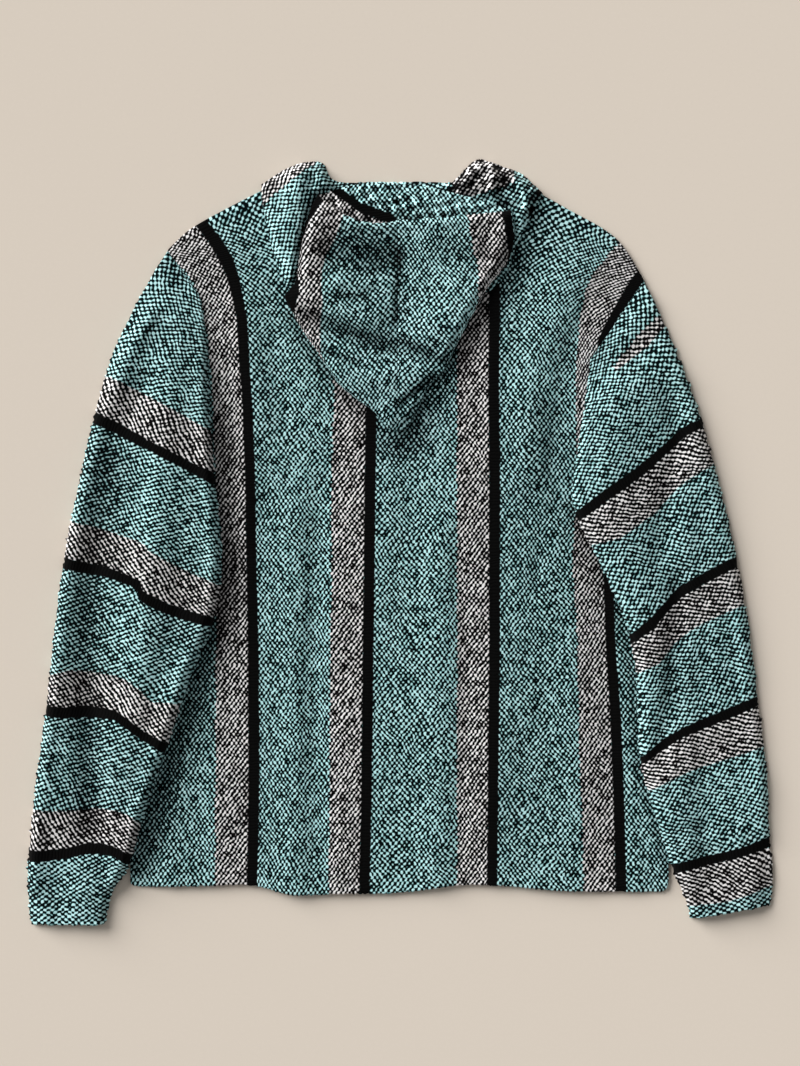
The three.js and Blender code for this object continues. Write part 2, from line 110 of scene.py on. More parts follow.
CROWN_LEFT = [
    (-12, 118), (-18, 123), (-28, 136), (-50, 152), (-68, 169), (-86, 197), (-102, 220), (-114, 242),
    (-121, 257), (-111, 270), (-107, 287), (-104, 317), (-93, 350), (-87, 362),
]
CROWN_RIGHT = [
    (8, 119), (14, 132), (23, 148), (28, 163), (44, 177), (55, 197), (65, 218), (81, 247), (95, 270),
    (111, 290), (119, 316), (119, 332), (117, 346),
]
LIP_SAG = {-1: -14, 1: -2}  # of the left and of the right half
NAPE_BOW = {-1: 5, 1: 4}

# The hood's lower edge round the neck, then the fold at its top, from the centre seam outward.
COLLAR_LEFT = [
    (CENTRE_X, COLLAR_Y, CENTRE_X, 376), (-42, COLLAR_Y, -40, 376), (-84, 254, -70, 378),
    (-112, 260, -82, 396), (-125, 282, -100, 397), (-134, 306, -114, 393),
    (-141, 336, -129, 385), (-145, 358, -145, 374),
]
COLLAR_RIGHT = [
    (CENTRE_X, COLLAR_Y, CENTRE_X, 376), (40, COLLAR_Y, 32, 376), (80, 256, 55, 377), (104, 272, 70, 392),
    (115, 292, 84, 400), (122, 312, 106, 393), (134, 336, 128, 384), (148, 361, 148, 365),
]

# ---- folds and creases: height, width, then the line that each follows ----

BACK_FOLDS = [
    (2.6, 17, (-108, -420), (-112, 30)),
    (1.6, 20, (-62, -400), (-50, -160)),
    (2.4, 19, (34, -420), (44, 20)),
    (1.4, 18, (96, -420), (104, -190)),
    (2.0, 15, (168, 20), (128, 150)),
    (1.8, 18, (190, -420), (178, -120)),
    (1.5, 18, (-200, -420), (-190, -260)),
]
BACK_CREASES = [
    (-2.2, 11, (-88, -330), (-92, -120), (-84, 60)),
    (-1.8, 10, (62, -340), (70, -160), (60, 10)),
    (-2.0, 9, (190, 60), (150, 20), (140, -60)),
    (2.4, 15, (-160, 236), (-150, 110), (-168, 10)),
    (-2.0, 12, (-128, 250), (-122, 120)),
    (4.0, 20, (176, 268), (142, 180), (126, 70)),
    (-3.4, 13, (210, 268), (180, 176), (162, 70), (170, 20)),
    (1.6, 18, (-20, -60), (-10, 60)),
    (-1.8, 12, (232, -340), (222, -190), (214, -80)),
    (1.6, 16, (-236, -340), (-224, -230)),
    (2.0, 18, (96, 200), (92, 90)),
]
# The ends of a sleeve's folds are shares: along it from the armhole, and across it from its outer fold.
SLEEVE_FOLDS_LEFT = [
    (2.4, 0.17, 0.12, 0.62, 0.45, 0.58),
    (2.2, 0.18, 0.57, 0.6, 0.95, 0.68),
    (1.9, 0.13, 0.16, 0.14, 0.9, 0.16),
]
SLEEVE_FOLDS_RIGHT = [
    (2.4, 0.17, 0.14, 0.6, 0.38, 0.72),
    (2.2, 0.2, 0.42, 0.22, 0.95, 0.3),
    (1.7, 0.12, 0.5, 0.85, 0.95, 0.8),
]
SLEEVE_CREASES_LEFT = [
    (8.0, 8, (-262, 236), (-283, 200), (-314, 126), (-331, 53), (-346, -25),
     (-356, -103), (-364, -177), (-374, -250), (-382, -328), (-383, -361)),
    (-5.5, 14, (-272, 160), (-296, 110), (-308, 43), (-325, -61), (-331, -124), (-324, -229), (-322, -300)),
    (4.6, 17, (-236, 190), (-246, 100), (-252, 43), (-270, -61), (-274, -124), (-277, -229)),
    (-2.6, 5, (-266, 60), (-272, -61), (-284, -150)),
    (-3.0, 6, (-309, -262), (-312, -320), (-306, -372)),
    (6.0, 8, (-210, 190), (-206, 130), (-201, 65), (-195, -9), (-201, -72),
     (-228, -142), (-253, -218), (-277, -290), (-290, -335)),
    (-3.0, 8, (-226, 20), (-232, -70), (-250, -134), (-270, -200)),
]
SLEEVE_CREASES_RIGHT = [
    (-5.5, 14, (290, 150), (286, 90), (276, 10), (272, -19)),
    (-5.0, 10, (290, -36), (285, -103), (276, -190), (272, -230)),
    (4.6, 17, (226, 150), (216, 66), (224, 6), (252, -66), (268, -150)),
    (4.0, 18, (300, 170), (318, 60), (326, -60), (322, -200)),
    (2.6, 15, (258, 236), (262, 180), (246, 130)),
    (-3.2, 6, (266, -268), (290, -298), (316, -304)),
    (3.0, 7, (270, -288), (292, -312), (314, -316)),
    (4.5, 8, (270, 228), (294, 168), (311, 116), (330, 44), (346, -26),
     (358, -96), (367, -168), (376, -240), (379, -308)),
    (-2.0, 8, (200, 80), (232, 52), (262, 46)),
]
CROWN_FOLDS = [
    (-2.2, 11, (-78, 226), (-10, 200)),
    (1.2, 12, (18, 176), (-30, 168)),
]
CROWN_CREASES = [
    (-7.0, 8, (-108, 236), (-80, 226), (-53, 214), (-20, 204), (12, 192), (44, 182)),
    (4.0, 12, (-92, 258), (-66, 246), (-30, 232)),
    (-5.0, 22, (2, 330), (-6, 292), (-4, 262), (0, 236)),
    (5.0, 17, (74, 318), (72, 282), (58, 244), (36, 214)),
    (3.6, 10, (-84, 330), (-92, 296)),
    (-3.0, 10, (-70, 296), (-44, 282), (-24, 280)),
    (4.0, 14, (-60, 190), (-24, 176), (8, 168)),
    (-3.4, 5, (-58, 265), (-44, 260), (-26, 262)),
    (-3.0, 8, (66, 328), (88, 310), (96, 284)),
    (-5.0, 4, (2, 140), (18, 156), (40, 176)),
    (-1.6, 3, (-4, 262), (-4, 240), (-6, 214)),
    (5.0, 8, (108, 326), (100, 296), (84, 266), (62, 222), (46, 194)),
    (3.0, 8, (-50, 328), (-66, 332), (-84, 350)),
]

# Painted shade and painted shadow laid on the cloth's colour: the amount, then the width and the line.
# Positive amounts darken the cloth and hide more of its bright yarns; negative amounts are painted light.
EDGE_WEAVE = -0.35  # the last picks at the hem and the cuffs stand up and show more yarn
# Painted shadow on the back beside the sleeves and round the hood's crown.
PAINTED_SHADE_BODY = [
    (0.6, 14, (-188, 130), (-183, 60), (-178, -9), (-182, -66),
     (-206, -141), (-231, -217), (-256, -290), (-272, -340)),
    (0.8, 13, (134, 327), (122, 290), (107, 264), (92, 240), (73, 208),
     (55, 180), (38, 152), (20, 126), (0, 108)),
    (0.75, 7, (-116, 236), (-98, 206), (-77, 176), (-50, 147), (-26, 122)),
    (0.35, 22, (-178, -30), (-190, -90), (-208, -155), (-232, -230), (-258, -310)),
    (0.1, 24, (176, 90), (174, 20), (196, -50)),
    (0.5, 14, (-24, 104), (0, 96), (24, 104)),
    (0.16, 60, (150, 100), (150, -300)),
    (0.6, 6, (177, 36), (208, -31), (235, -97), (244, -161), (247, -229), (264, -290), (279, -338)),
]
# Painted shade in the left sleeve's trough and beside its inner edge, and painted light along its ridge.
PAINTED_SHADE_SLEEVE_LEFT = [
    (0.7, 18, (-302, 90), (-308, 43), (-325, -61), (-325, -124), (-326, -229), (-328, -300)),
    (0.3, 20, (-226, -20), (-222, -50), (-234, -110)),
    (-0.25, 13, (-258, 90), (-263, 43), (-282, -61), (-286, -124), (-288, -190)),
    (-0.25, 8, (-197, -9), (-200, -72), (-226, -142), (-250, -218)),
    (0.2, 10, (-218, 66), (-211, 30)),
]
# Painted shade in the right sleeve's trough, and painted light along its outer fold.
PAINTED_SHADE_SLEEVE_RIGHT = [
    (0.4, 9, (292, -40), (285, -103), (281, -180)),
    (0.12, 36, (270, 60), (300, 30), (310, -110)),
    (-0.3, 7, (330, 60), (340, 0), (352, -80), (362, -160), (374, -250), (382, -330)),
]
# Painted shade in the crown's creases and along its seam and tip, and painted light on its lit slopes.
PAINTED_SHADE_CROWN = [
    (0.9, 17, (-74, 308), (-40, 305), (-8, 299)),
    (0.7, 9, (-104, 240), (-75, 226), (-48, 218), (-16, 207)),
    (-0.2, 16, (44, 276), (36, 250), (28, 226)),
    (0.45, 16, (50, 306), (76, 304), (104, 298)),
    (0.9, 4.5, (-64, 258), (-50, 256), (-36, 256)),
    (0.8, 4.5, (0, 212), (24, 201), (47, 190)),
    (0.7, 4, (-84, 202), (-60, 192), (-44, 188)),
    (-0.35, 10, (-38, 181), (-14, 176)),
    (-0.3, 8, (-76, 270), (-62, 273)),
    (-0.4, 7, (86, 290), (80, 262), (71, 240), (60, 215)),
    (1.1, 3.5, (-4, 145), (14, 157), (32, 168), (44, 176)),
    (0.4, 11, (2, 130), (22, 144)),
    (0.3, 5, (-60, 222), (-46, 216), (-16, 201), (-4, 206), (22, 199)),
    (0.85, 4.5, (-1, 303), (-2, 270), (-5, 232)),
]
# Painted shade in the rolls' troughs and the hood's mouth, and painted light on the rolls' ridges.
PAINTED_SHADE_ROLL = [
    (0.2, 20, (-40, 360), (20, 352), (40, 356)),
    (1.0, 4, (62, 379), (50, 361), (40, 341)),
    (0.8, 4, (118, 394), (116, 380), (120, 364)),
    (0.15, 16, (70, 372), (104, 376)),
    (1.1, 4.5, (82, 384), (71, 371), (62, 353), (54, 337)),
    (1.0, 4.5, (102, 391), (107, 377), (104, 361), (110, 350)),
    (-0.35, 5, (86, 397), (64, 373), (46, 346)),
    (-0.45, 5, (94, 395), (96, 380), (92, 364), (86, 350)),
    (-0.4, 6, (117, 388), (124, 374), (130, 353), (130, 322)),
    (-0.5, 16, (-112, 380), (-120, 340), (-118, 290)),
    (1.4, 5, (142, 364), (139, 352), (136, 342)),
]
ROLL_FOLDS = [
    (-2.2, 5, (66, 372), (84, 400)),
    (-2.0, 5, (86, 366), (102, 396)),
    (-1.8, 5, (108, 352), (124, 388)),
    (-1.4, 6, (-92, 372), (-104, 398)),
]
ROLL_CREASES = [
    (3.6, 5, (86, 397), (64, 373), (46, 346), (38, 332)),
    (-4.6, 4.5, (82, 384), (71, 371), (62, 353), (54, 337)),
    (3.6, 5, (94, 395), (96, 380), (92, 364), (86, 350)),
    (-4.6, 4.5, (102, 391), (107, 377), (104, 361), (110, 350)),
    (3.4, 6, (117, 388), (124, 374), (130, 353), (130, 322)),
    (-3.4, 4, (142, 364), (139, 352), (136, 342)),
    (3.0, 14, (-124, 318), (-116, 352), (-104, 386)),
    (-3.0, 6, (-131, 292), (-139, 330), (-141, 352)),
    (-2.4, 6, (-98, 352), (-90, 384)),
]

# ---- the stripes: where each starts and ends on the cloth ----

GREY = 34.7  # the off-white stripe
BLACK = 44.1  # where the black stripe beside it ends
REPEAT = 126.0
PLAIN = -78.0  # further before a stripe than this, the cloth stays teal
TEAL = 80.0  # a place between two stripes
PACE = (62, 50)  # cloth from a sleeve's section to its next, before its first stripe and after its last

# On the body, at each height: the four stripes' off-white edge and the far edge of their black.
BODY_STRIPES = [
    (-420, -193.7, -150.2, -75.1, -33.1, 59.3, 100.3, 191.6, 235.7),
    (-355, -193.7, -150.7, -75.1, -33.1, 59.3, 100.3, 191.6, 235.7),
    (-271, -193.7, -148.6, -74, -31, 59.3, 101.3, 189.5, 233.6),
    (-187, -193.7, -148.6, -74, -29.9, 59.3, 102.4, 186.4, 230.5),
    (-103, -193.2, -149.6, -73, -28.9, 59.3, 103.4, 185.3, 224.2),
    (-19, -192.7, -151.7, -71.9, -27.8, 59.3, 103.4, 180.1, 222.1),
    (65, -193.7, -152.8, -71.9, -26.8, 59.3, 103.4, 185.3, 218.9),
    (149, -196.9, -155.9, -69.8, -25.7, 59.3, 102.4, 184.3, 213.7),
    (180, -199, -158.6, -69.8, -25.7, 59.3, 102.4, 184.3, 210.5),
    (212, -202.1, -160.1, -69.8, -25.2, 58.8, 102.9, 186.4, 214.0),
    (233, -205.3, -161.2, -69.8, -24.7, 58.3, 103.4, 188.5, 226.3),
    (254, -209.5, -165.4, -69.8, -24.7, 58.3, 103.4, 191.6, 241),
    (275, -218.9, -169.6, -69.8, -24.7, 58.3, 103.4, 197.9, 255.2),
    (296, -237.8, -175.9, -69.8, -24.7, 58.3, 103.4, 213.7, 272.5),
    (317, -252.5, -188.5, -69.8, -24.7, 58.3, 103.4, 232.6, 285.1),
    (332, -263, -201.1, -69.8, -24.7, 58.3, 103.4, 251.5, 304),
    (380, -290, -228, -69.8, -24.7, 58.3, 103.4, 280, 330),
]

# Along each sleeve, at shares q of the way from its outer fold to its inner one: each stripe's
# off-white edge, the edge of its black and the black's far edge, in sections from the armhole.
SLEEVE_STRIPES_LEFT = [
    (0.0, 2.30, 2.89, 3.03, 4.42, 4.91, 5.03, 6.50, 6.93, 7.05, 8.36, 8.92, 9.12),
    (0.15, 2.27, 2.88, 3.02, 4.38, 4.88, 5.00, 6.34, 6.88, 7.01, 8.33, 8.90, 9.08),
    (0.3, 2.26, 2.89, 3.03, 4.36, 4.85, 4.96, 6.27, 6.76, 6.90, 8.26, 8.83, 9.00),
    (0.46, 2.25, 2.92, 3.03, 4.35, 4.88, 4.98, 6.22, 6.70, 6.82, 8.16, 8.74, 8.90),
    (0.498, 2.25, 2.92, 3.03, 4.37, 4.90, 5.01, 6.22, 6.69, 6.80, 8.13, 8.70, 8.87),
    (0.518, 2.25, 2.92, 3.03, 4.42, 5.00, 5.12, 6.22, 6.69, 6.79, 8.11, 8.68, 8.85),
    (0.56, 2.25, 2.92, 3.04, 4.44, 5.04, 5.16, 6.22, 6.68, 6.78, 8.08, 8.64, 8.81),
    (0.7, 2.25, 2.92, 3.05, 4.50, 5.09, 5.21, 6.31, 6.76, 6.86, 8.00, 8.59, 8.76),
    (0.8, 2.26, 2.93, 3.06, 4.53, 5.10, 5.22, 6.42, 6.82, 6.92, 7.98, 8.58, 8.75),
    (0.87, 2.26, 2.93, 3.07, 4.54, 5.10, 5.22, 6.37, 6.84, 6.94, 7.97, 8.60, 8.77),
    (1.0, 2.26, 2.92, 3.08, 4.57, 5.09, 5.21, 6.33, 6.88, 7.00, 8.04, 8.70, 8.90),
]
SLEEVE_STRIPES_RIGHT = [
    (0.0, 3.52, 2.92, 2.80, 5.58, 5.00, 4.88, 7.64, 7.05, 6.94, 10.28, 9.22, 9.02),
    (0.15, 3.52, 2.92, 2.77, 5.54, 4.96, 4.84, 7.61, 7.03, 6.91, 10.34, 9.23, 9.05),
    (0.3, 3.54, 3.02, 2.88, 5.50, 4.95, 4.82, 7.58, 7.01, 6.89, 10.44, 9.25, 9.08),
    (0.5, 3.69, 3.13, 2.98, 5.48, 4.93, 4.80, 7.53, 6.97, 6.85, 10.53, 9.23, 9.06),
    (0.65, 3.71, 3.16, 3.02, 5.54, 5.00, 4.88, 7.48, 6.94, 6.83, 10.54, 9.22, 9.02),
    (0.8, 3.74, 3.20, 3.06, 5.70, 5.12, 4.97, 7.49, 6.99, 6.86, 10.51, 9.20, 9.00),
    (1.0, 3.62, 3.25, 3.13, 5.64, 5.16, 5.04, 7.50, 7.06, 6.97, 10.50, 9.20, 8.98),
]

# The end of an off-white stripe that shows beside the right armhole.
WEDGE = [(282, 240), (270, 236), (250, 217.5), (222, 182.4), (225, 178), (258.5, 204), (277, 226), (290, 232)]

# The inner edge of the crown's off-white stripe at each height.
CROWN_STRIPE_LEFT = [
    (150, -84), (198, -83.7), (230, -83.7), (250, -80.7), (266, -82.7), (283, -81.7), (299, -77.7),
    (317, -67.7), (334, -61.4), (352, -56),
]
CROWN_BLACK_LEFT = [
    (198, -122), (236, -119), (246, -110), (262, -106), (274, -108), (286, -116), (317, -104), (334, -97),
    (345, -89), (355, -81), (365, -75),
]
CROWN_STRIPE_RIGHT = [(150, 86), (250, 81.4), (270, 81.1), (287, 81.1), (303, 76.1), (334, 70.9), (350, 69)]
# The upper edge of the black stripe inside the hood's mouth.
MOUTH_STRIPE = [
    (-110, 402), (-90, 388), (-71.9, 376), (-42.5, 354), (-10, 342), (10, 322), (30, 296), (60, 240),
]
# The ways across and along the yarns of the left and of the right roll beside the hood's mouth.
ROLL_YARNS = {-1: [(-0.64, 0.77), (0.77, 0.64)], 1: [(-0.28, 0.95), (0.96, 0.28)]}

BODY = "root"
ABOVE = 0.0045  # in metres: the faces above it tell whether a piece's mesh is inside out
SEWN_EDGE = 0.05  # how far a sewn edge bulges, in millimetres
DAYLIGHT = (1.0, 0.995, 0.985)


# ---- small tools ----


def smooth(t):
    t = np.clip(t, 0, 1)
    return t * t * (3 - 2 * t)


def fade(value, start, reach):
    """0 up to a start, then a smooth rise to 1 over a reach."""
    return smooth((value - start) / reach)


def lerp(a, b, t):
    return a + (b - a) * t


def peak(away, width):
    return np.exp(-((away / width) ** 2))


def read(table, at, column=1):
    """What a column of a table says at places along the table's first column."""
    table = np.array(table, float)
    return np.interp(at, table[:, 0], table[:, column])


def unit(vectors):
    return vectors / np.maximum(np.linalg.norm(vectors, axis=-1, keepdims=True), 1e-9)


def linear(*srgb):
    """A colour given in 8-bit sRGB, as Blender's linear one."""
    return tuple((c / 255 / 12.92) if c <= 10 else ((c / 255 + 0.055) / 1.055) ** 2.4 for c in srgb)


class Curve:
    """A smooth line through points, read by the share of its points or of its length."""

    def __init__(self, points):
        self.points = np.array(points, float)
        self.shares = np.linspace(0, 1, 1201)
        run = np.linalg.norm(np.diff(self.at(self.shares), axis=0), axis=1)
        self.lengths = np.concatenate([[0], np.cumsum(run)])

    def at(self, t):
        points = self.points
        last = len(points) - 1
        place = np.clip(np.asarray(t, float), 0, 1) * last
        i = np.minimum(place.astype(int), last - 1)
        w = (place - i)[..., None]
        p0, p1, p2, p3 = (points[np.clip(i + k, 0, last)] for k in (-1, 0, 1, 2))
        v0, v1 = (p2 - p0) / 2, (p3 - p1) / 2
        return (2 * p1 - 2 * p2 + v0 + v1) * w**3 + (3 * p2 - 3 * p1 - 2 * v0 - v1) * w**2 + v0 * w + p1

    def along(self, u):
        return self.at(np.interp(np.asarray(u) * self.lengths[-1], self.lengths, self.shares))


def bezier(a, b, c, d):
    t = np.linspace(0, 1, 401)[:, None]
    line = a * (1 - t) ** 3 + 3 * b * t * (1 - t) ** 2 + 3 * c * t**2 * (1 - t) + d * t**3
    run = np.concatenate([[0], np.cumsum(np.linalg.norm(np.diff(line, axis=0), axis=1))])
    return lambda u: np.stack([np.interp(np.asarray(u) * run[-1], run, line[:, k]) for k in (0, 1)], -1)


def from_segment(p, a, b):
    """How far points lie from the straight line between two others."""
    run = b - a
    share = np.clip(((p - a) @ run) / (run @ run), 0, 1)
    return np.linalg.norm(p - (a + share[..., None] * run), axis=-1)


def outside(p, outline):
    """How far points lie outside a closed outline; inside, the distance is negative."""
    nearest = np.full(p.shape[:-1], np.inf)
    within = np.zeros(p.shape[:-1], bool)
    for a, b in zip(outline, np.roll(outline, -1, axis=0)):
        if np.allclose(a, b):
            continue
        nearest = np.minimum(nearest, from_segment(p, a, b))
        crosses = (a[1] > p[..., 1]) != (b[1] > p[..., 1])
        rise = b[1] - a[1] if b[1] != a[1] else 1e-9
        within ^= crosses & (p[..., 0] < a[0] + (p[..., 1] - a[1]) * (b[0] - a[0]) / rise)
    return np.where(within, -nearest, nearest)


def folds(table, p):
    """The height that a table of folds or creases gives at points of the cloth."""
    total = np.zeros(p.shape[:-1])
    for height, width, *line in table:
        line = np.array(line, float)
        away = np.min([from_segment(p, a, b) for a, b in zip(line, line[1:])], axis=0)
        total += height * peak(away, width)
    return total


def sleeve_folds(table, s, q):
    total = np.zeros(np.broadcast(s, q).shape)
    for height, width, s0, q0, s1, q1 in table:
        share = np.clip((s - s0) / (s1 - s0), 0, 1)
        aside = (q - lerp(q0, q1, share)) / width
        beyond = (s - lerp(s0, s1, share)) / 0.06
        total += height * np.exp(-(aside**2) - beyond**2)
    return total


def ripple(p, size, seed):
    """Uneven soft waves between about -1 and 1, some size apart."""
    chance = np.random.default_rng(seed)
    total = np.zeros(p.shape[:-1])
    for _ in range(7):
        turn, stretch, shift = (chance.uniform(*span) for span in ((0, math.tau), (0.75, 1.7), (0, math.tau)))
        across = p[..., 0] * math.cos(turn) + p[..., 1] * math.sin(turn)
        total += np.sin(across * math.tau / (size * stretch) + shift)
    return total / 3.2


def nubs(count, seed, low=0.2, high=1.9):
    """How far each yarn's loop stands out along an edge."""
    return np.random.default_rng(seed).uniform(low, high, count)


# ---- closed cloth from grids of points ----


def border(grid):
    """A grid's rim, once round: first row, last column, last row and first column."""
    return np.concatenate([grid[0, :-1], grid[:-1, -1], grid[-1, :0:-1], grid[:0:-1, 0]])


def closed_sheet(upper, lower, bulge):
    """The points and faces of a sheet whose two faces meet in a rounded edge, and each point's grid place.

    bulge is how far the edge stands out, in millimetres, at the first row, the last column, the last row
    and the first column: each one number, or one for each point.
    """
    rows, columns = upper.shape[:2]
    total = rows * columns
    number = np.arange(total).reshape(rows, columns)
    a, b, c, d = number[:-1, :-1], number[:-1, 1:], number[1:, 1:], number[1:, :-1]
    top = np.stack([a, b, c, d], -1).reshape(-1, 4)
    bottom = np.stack([a, d, c, b], -1).reshape(-1, 4) + total
    middle = (upper + lower) / 2
    i, j = np.indices((rows, columns))
    inward = middle[np.clip(i, 1, rows - 2), np.clip(j, 1, columns - 2)]
    first, right, last, left = (np.broadcast_to(side, n) for side, n in zip(bulge, (columns, rows) * 2))
    push = np.concatenate([first[:-1], right[:-1], last[:0:-1], left[:0:-1]])[:, None]
    edge = border(middle) + unit(border(middle - inward)) * push
    ring, rim = border(number), 2 * total + np.arange(len(edge))
    next_ring, next_rim = np.roll(ring, -1), np.roll(rim, -1)
    to_top = np.stack([ring, rim, next_rim, next_ring], -1)
    to_bottom = np.stack([rim, total + ring, total + next_ring, next_rim], -1)
    points = np.concatenate([upper.reshape(-1, 3), lower.reshape(-1, 3), edge])
    source = np.concatenate([number.ravel(), number.ravel(), ring])
    return points, np.concatenate([top, bottom, to_top, to_bottom]), source


def closed_tube(outer, inner, bulge):
    """The points and faces of a tube of cloth, open at both ends, whose ends are rounded."""
    count, around = outer.shape[:2]
    total = count * around
    number = np.arange(total).reshape(count, around)
    after = np.roll(number, -1, axis=1)
    skin = np.stack([number[:-1], after[:-1], after[1:], number[1:]], -1).reshape(-1, 4)
    points, faces = [outer.reshape(-1, 3), inner.reshape(-1, 3)], [skin, skin[:, ::-1] + total]
    source = [number.ravel()] * 2
    rim = 2 * total + np.arange(around)
    for end, beside, push, way in ((0, 1, bulge[0], 1), (count - 1, count - 2, bulge[1], -1)):
        middle, near = ((outer[k] + inner[k]) / 2 for k in (end, beside))
        points.append(middle + unit(middle - near) * push[:, None])
        source.append(number[end])
        next_rim = np.roll(rim, -1)
        faces += [
            np.stack([number[end], rim, next_rim, after[end]], -1)[:, ::way],
            np.stack([rim, number[end] + total, after[end] + total, next_rim], -1)[:, ::way],
        ]
        rim = rim + around
    return np.concatenate(points), np.concatenate(faces), np.concatenate(source)


def striped(cloth, yarn, stripe, painted_shade):
    """A part's points and faces, with where each point lies on its yarns and stripes, and its painted shade.
    """
    points, faces, source = cloth
    return points, faces, yarn.reshape(-1, 2)[source], stripe.ravel()[source], painted_shade.ravel()[source]


def cloth_piece(node, parts, material):
    """One piece of the garment, from its striped parts, in the place of one solid."""
    name = node + "_cloth"
    old = bpy.data.objects.get(name)
    if old:
        bpy.data.objects.remove(old)
    starts = np.cumsum([0] + [len(part[0]) for part in parts])
    parts = [(points, faces + start, *rest) for (points, faces, *rest), start in zip(parts, starts)]
    points, faces, yarn, stripe, painted_shade = (np.concatenate(column) for column in zip(*parts))
    mesh = bpy.data.meshes.new(name)
    mesh.from_pydata((points * 0.001).tolist(), [], faces.tolist())
    mesh.update()
    weave = mesh.uv_layers.new(name="Weave")
    weave.data.foreach_set("uv", yarn[faces.ravel()].astype(np.float32).ravel())
    # Each point keeps its stripe place and its painted shade, which is painted light below zero.
    for label, values in (("stripe", stripe), ("painted_shade", painted_shade)):
        attribute = mesh.attributes.new(label, "FLOAT", "POINT")
        attribute.data.foreach_set("value", values.astype(np.float32))
    mesh.shade_smooth()
    mesh.materials.append(material)
    if sum(p.area * p.normal.z for p in mesh.polygons if p.center.z > ABOVE) < 0:
        mesh.flip_normals()
    piece = bpy.data.objects.new(name, mesh)
    bpy.context.scene.collection.objects.link(piece)
    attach(piece, BODY)
    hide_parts(node)
    return piece


# ---- body panels ----


def seam_inset(side, shoulder, inward):
    """How far the end of an armhole's edge stays back from the sleeve that is sewn to it."""
    seam = np.subtract(shoulder[0], side[-1]).astype(float)
    return unit(np.array([-seam[1], seam[0]])) * SEAM * inward


INSETS = [seam_inset(SIDE_LEFT, SHOULDER_LEFT, -1), seam_inset(SIDE_RIGHT, SHOULDER_RIGHT, 1)]


class Panel:
    """A body panel's points, spread between its hem, its sides, its shoulders and its neckline."""

    def __init__(self, neck_y):
        self.hem = Curve(HEM)
        self.sides = [Curve(SIDE_LEFT), Curve(SIDE_RIGHT)]
        self.shoulders = [
            Curve([points[0] + inset, *points[1:]])
            for points, inset in zip((SHOULDER_LEFT, SHOULDER_RIGHT), INSETS)
        ]
        start, end = (shoulder.at(1) for shoulder in self.shoulders)
        reach = np.array([(end[0] - start[0]) / 8, 0])
        self.neck = bezier(start, [start[0], neck_y] + reach, [end[0], neck_y] - reach, end)

    def top(self, u):
        """The upper edge: a shoulder, the neckline and the other shoulder."""
        u = np.asarray(u, float)[..., None]
        left = self.shoulders[0].along(u[..., 0] / SHOULDER)
        right = self.shoulders[1].along((1 - u[..., 0]) / SHOULDER)
        neck = self.neck(np.clip((u[..., 0] - SHOULDER) / (1 - 2 * SHOULDER), 0, 1))
        return np.where(u <= SHOULDER, left, np.where(u >= 1 - SHOULDER, right, neck))

    def side(self, v, which):
        """An edge up the side to the armhole, then straight along the armhole's seam."""
        v = np.asarray(v, float)[..., None]
        side, inset = self.sides[which], INSETS[which]
        lower = side.along(np.minimum(v[..., 0] / ARMHOLE, 1)) + inset * v / ARMHOLE
        seam = lerp(side.at(1) + inset, self.top(which), (v - ARMHOLE) / (1 - ARMHOLE))
        return np.where(v <= ARMHOLE, lower, seam)

    def grid(self, u, v):
        """Points at shares across and up, whose inner rows stay level until they are near the top."""
        across, up = u[None, :, None], v[:, None, None] ** 6
        upright = lerp(self.hem.along(u)[None], self.top(u)[None], up)
        level = lerp(self.side(v, 0)[:, None], self.side(v, 1)[:, None], across)
        hem = lerp(self.hem.along(0.0), self.hem.along(1.0), across)
        top = lerp(self.top(0.0), self.top(1.0), across)
        return upright + level - lerp(hem, top, up)

    def outline(self):
        u, v = np.linspace(0, 1, 33), np.linspace(0, 1, 26)
        return np.concatenate([
            self.hem.along(u[1:]), self.side(v[1:], 1), self.top(1 - u[1:]), self.side(v[::-1][1:], 0),
        ])


BACK = Panel(BACK_NECK_Y)
BACK_OUTLINE = BACK.outline()


def sleeve_outline(rows):
    rows = np.array(rows, float)
    t = np.linspace(0, 1, 41)
    return np.concatenate([Curve(rows[:, :2]).at(t), Curve(rows[:, 2:]).at(t[::-1])])


SLEEVE_OUTLINES = [sleeve_outline(SLEEVE_LEFT), sleeve_outline(SLEEVE_RIGHT)]


def back_rise(p, loft):
    """The folds of the back, which die out before the sides and under the sleeves and the hood."""
    hoods = [hood for side in (-1, 1) for hood in HoodHalf(side).covers()]
    above_hem = np.stack([p[..., 0], np.maximum(p[..., 1], HEM_Y + 60)], -1)
    from_sides = fade(-outside(above_hem, BACK_OUTLINE), *FADES["sides"])
    from_sleeves = np.min([fade(outside(p, s), *FADES["sleeves"]) for s in SLEEVE_OUTLINES], axis=0)
    from_hood = np.min([fade(outside(p, cover), *FADES["hood"]) for cover in hoods], axis=0)
    waves = folds(BACK_FOLDS, p) + folds(BACK_CREASES, p) + 0.5 * ripple(p, 90, 3) + 0.22 * ripple(p, 34, 4)
    return np.maximum(loft + waves, 0) * from_sides * from_sleeves * from_hood


def across_stripes(at, edges, places, before, after):
    """Where points lie on the striped cloth, from the edges between which they lie."""
    stripe = before
    for e0, e1, t0, t1 in zip(edges, edges[1:], places, places[1:]):
        share = (at - e0) / (e1 - e0)
        stripe = np.where(share > 0, t0 + share * (t1 - t0), stripe)
    return np.where(at > edges[-1], after, stripe)


def body_stripes(p):
    """How far across the stripes each point of a body panel lies, in millimetres of cloth."""
    x, y = p[..., 0], p[..., 1]
    edges = [read(BODY_STRIPES, y, k) for k in range(1, 9)]
    places = [k * REPEAT + at for k in range(4) for at in (0, BLACK)]
    return across_stripes(x, edges, places, x - edges[0], places[7] + x - edges[7])


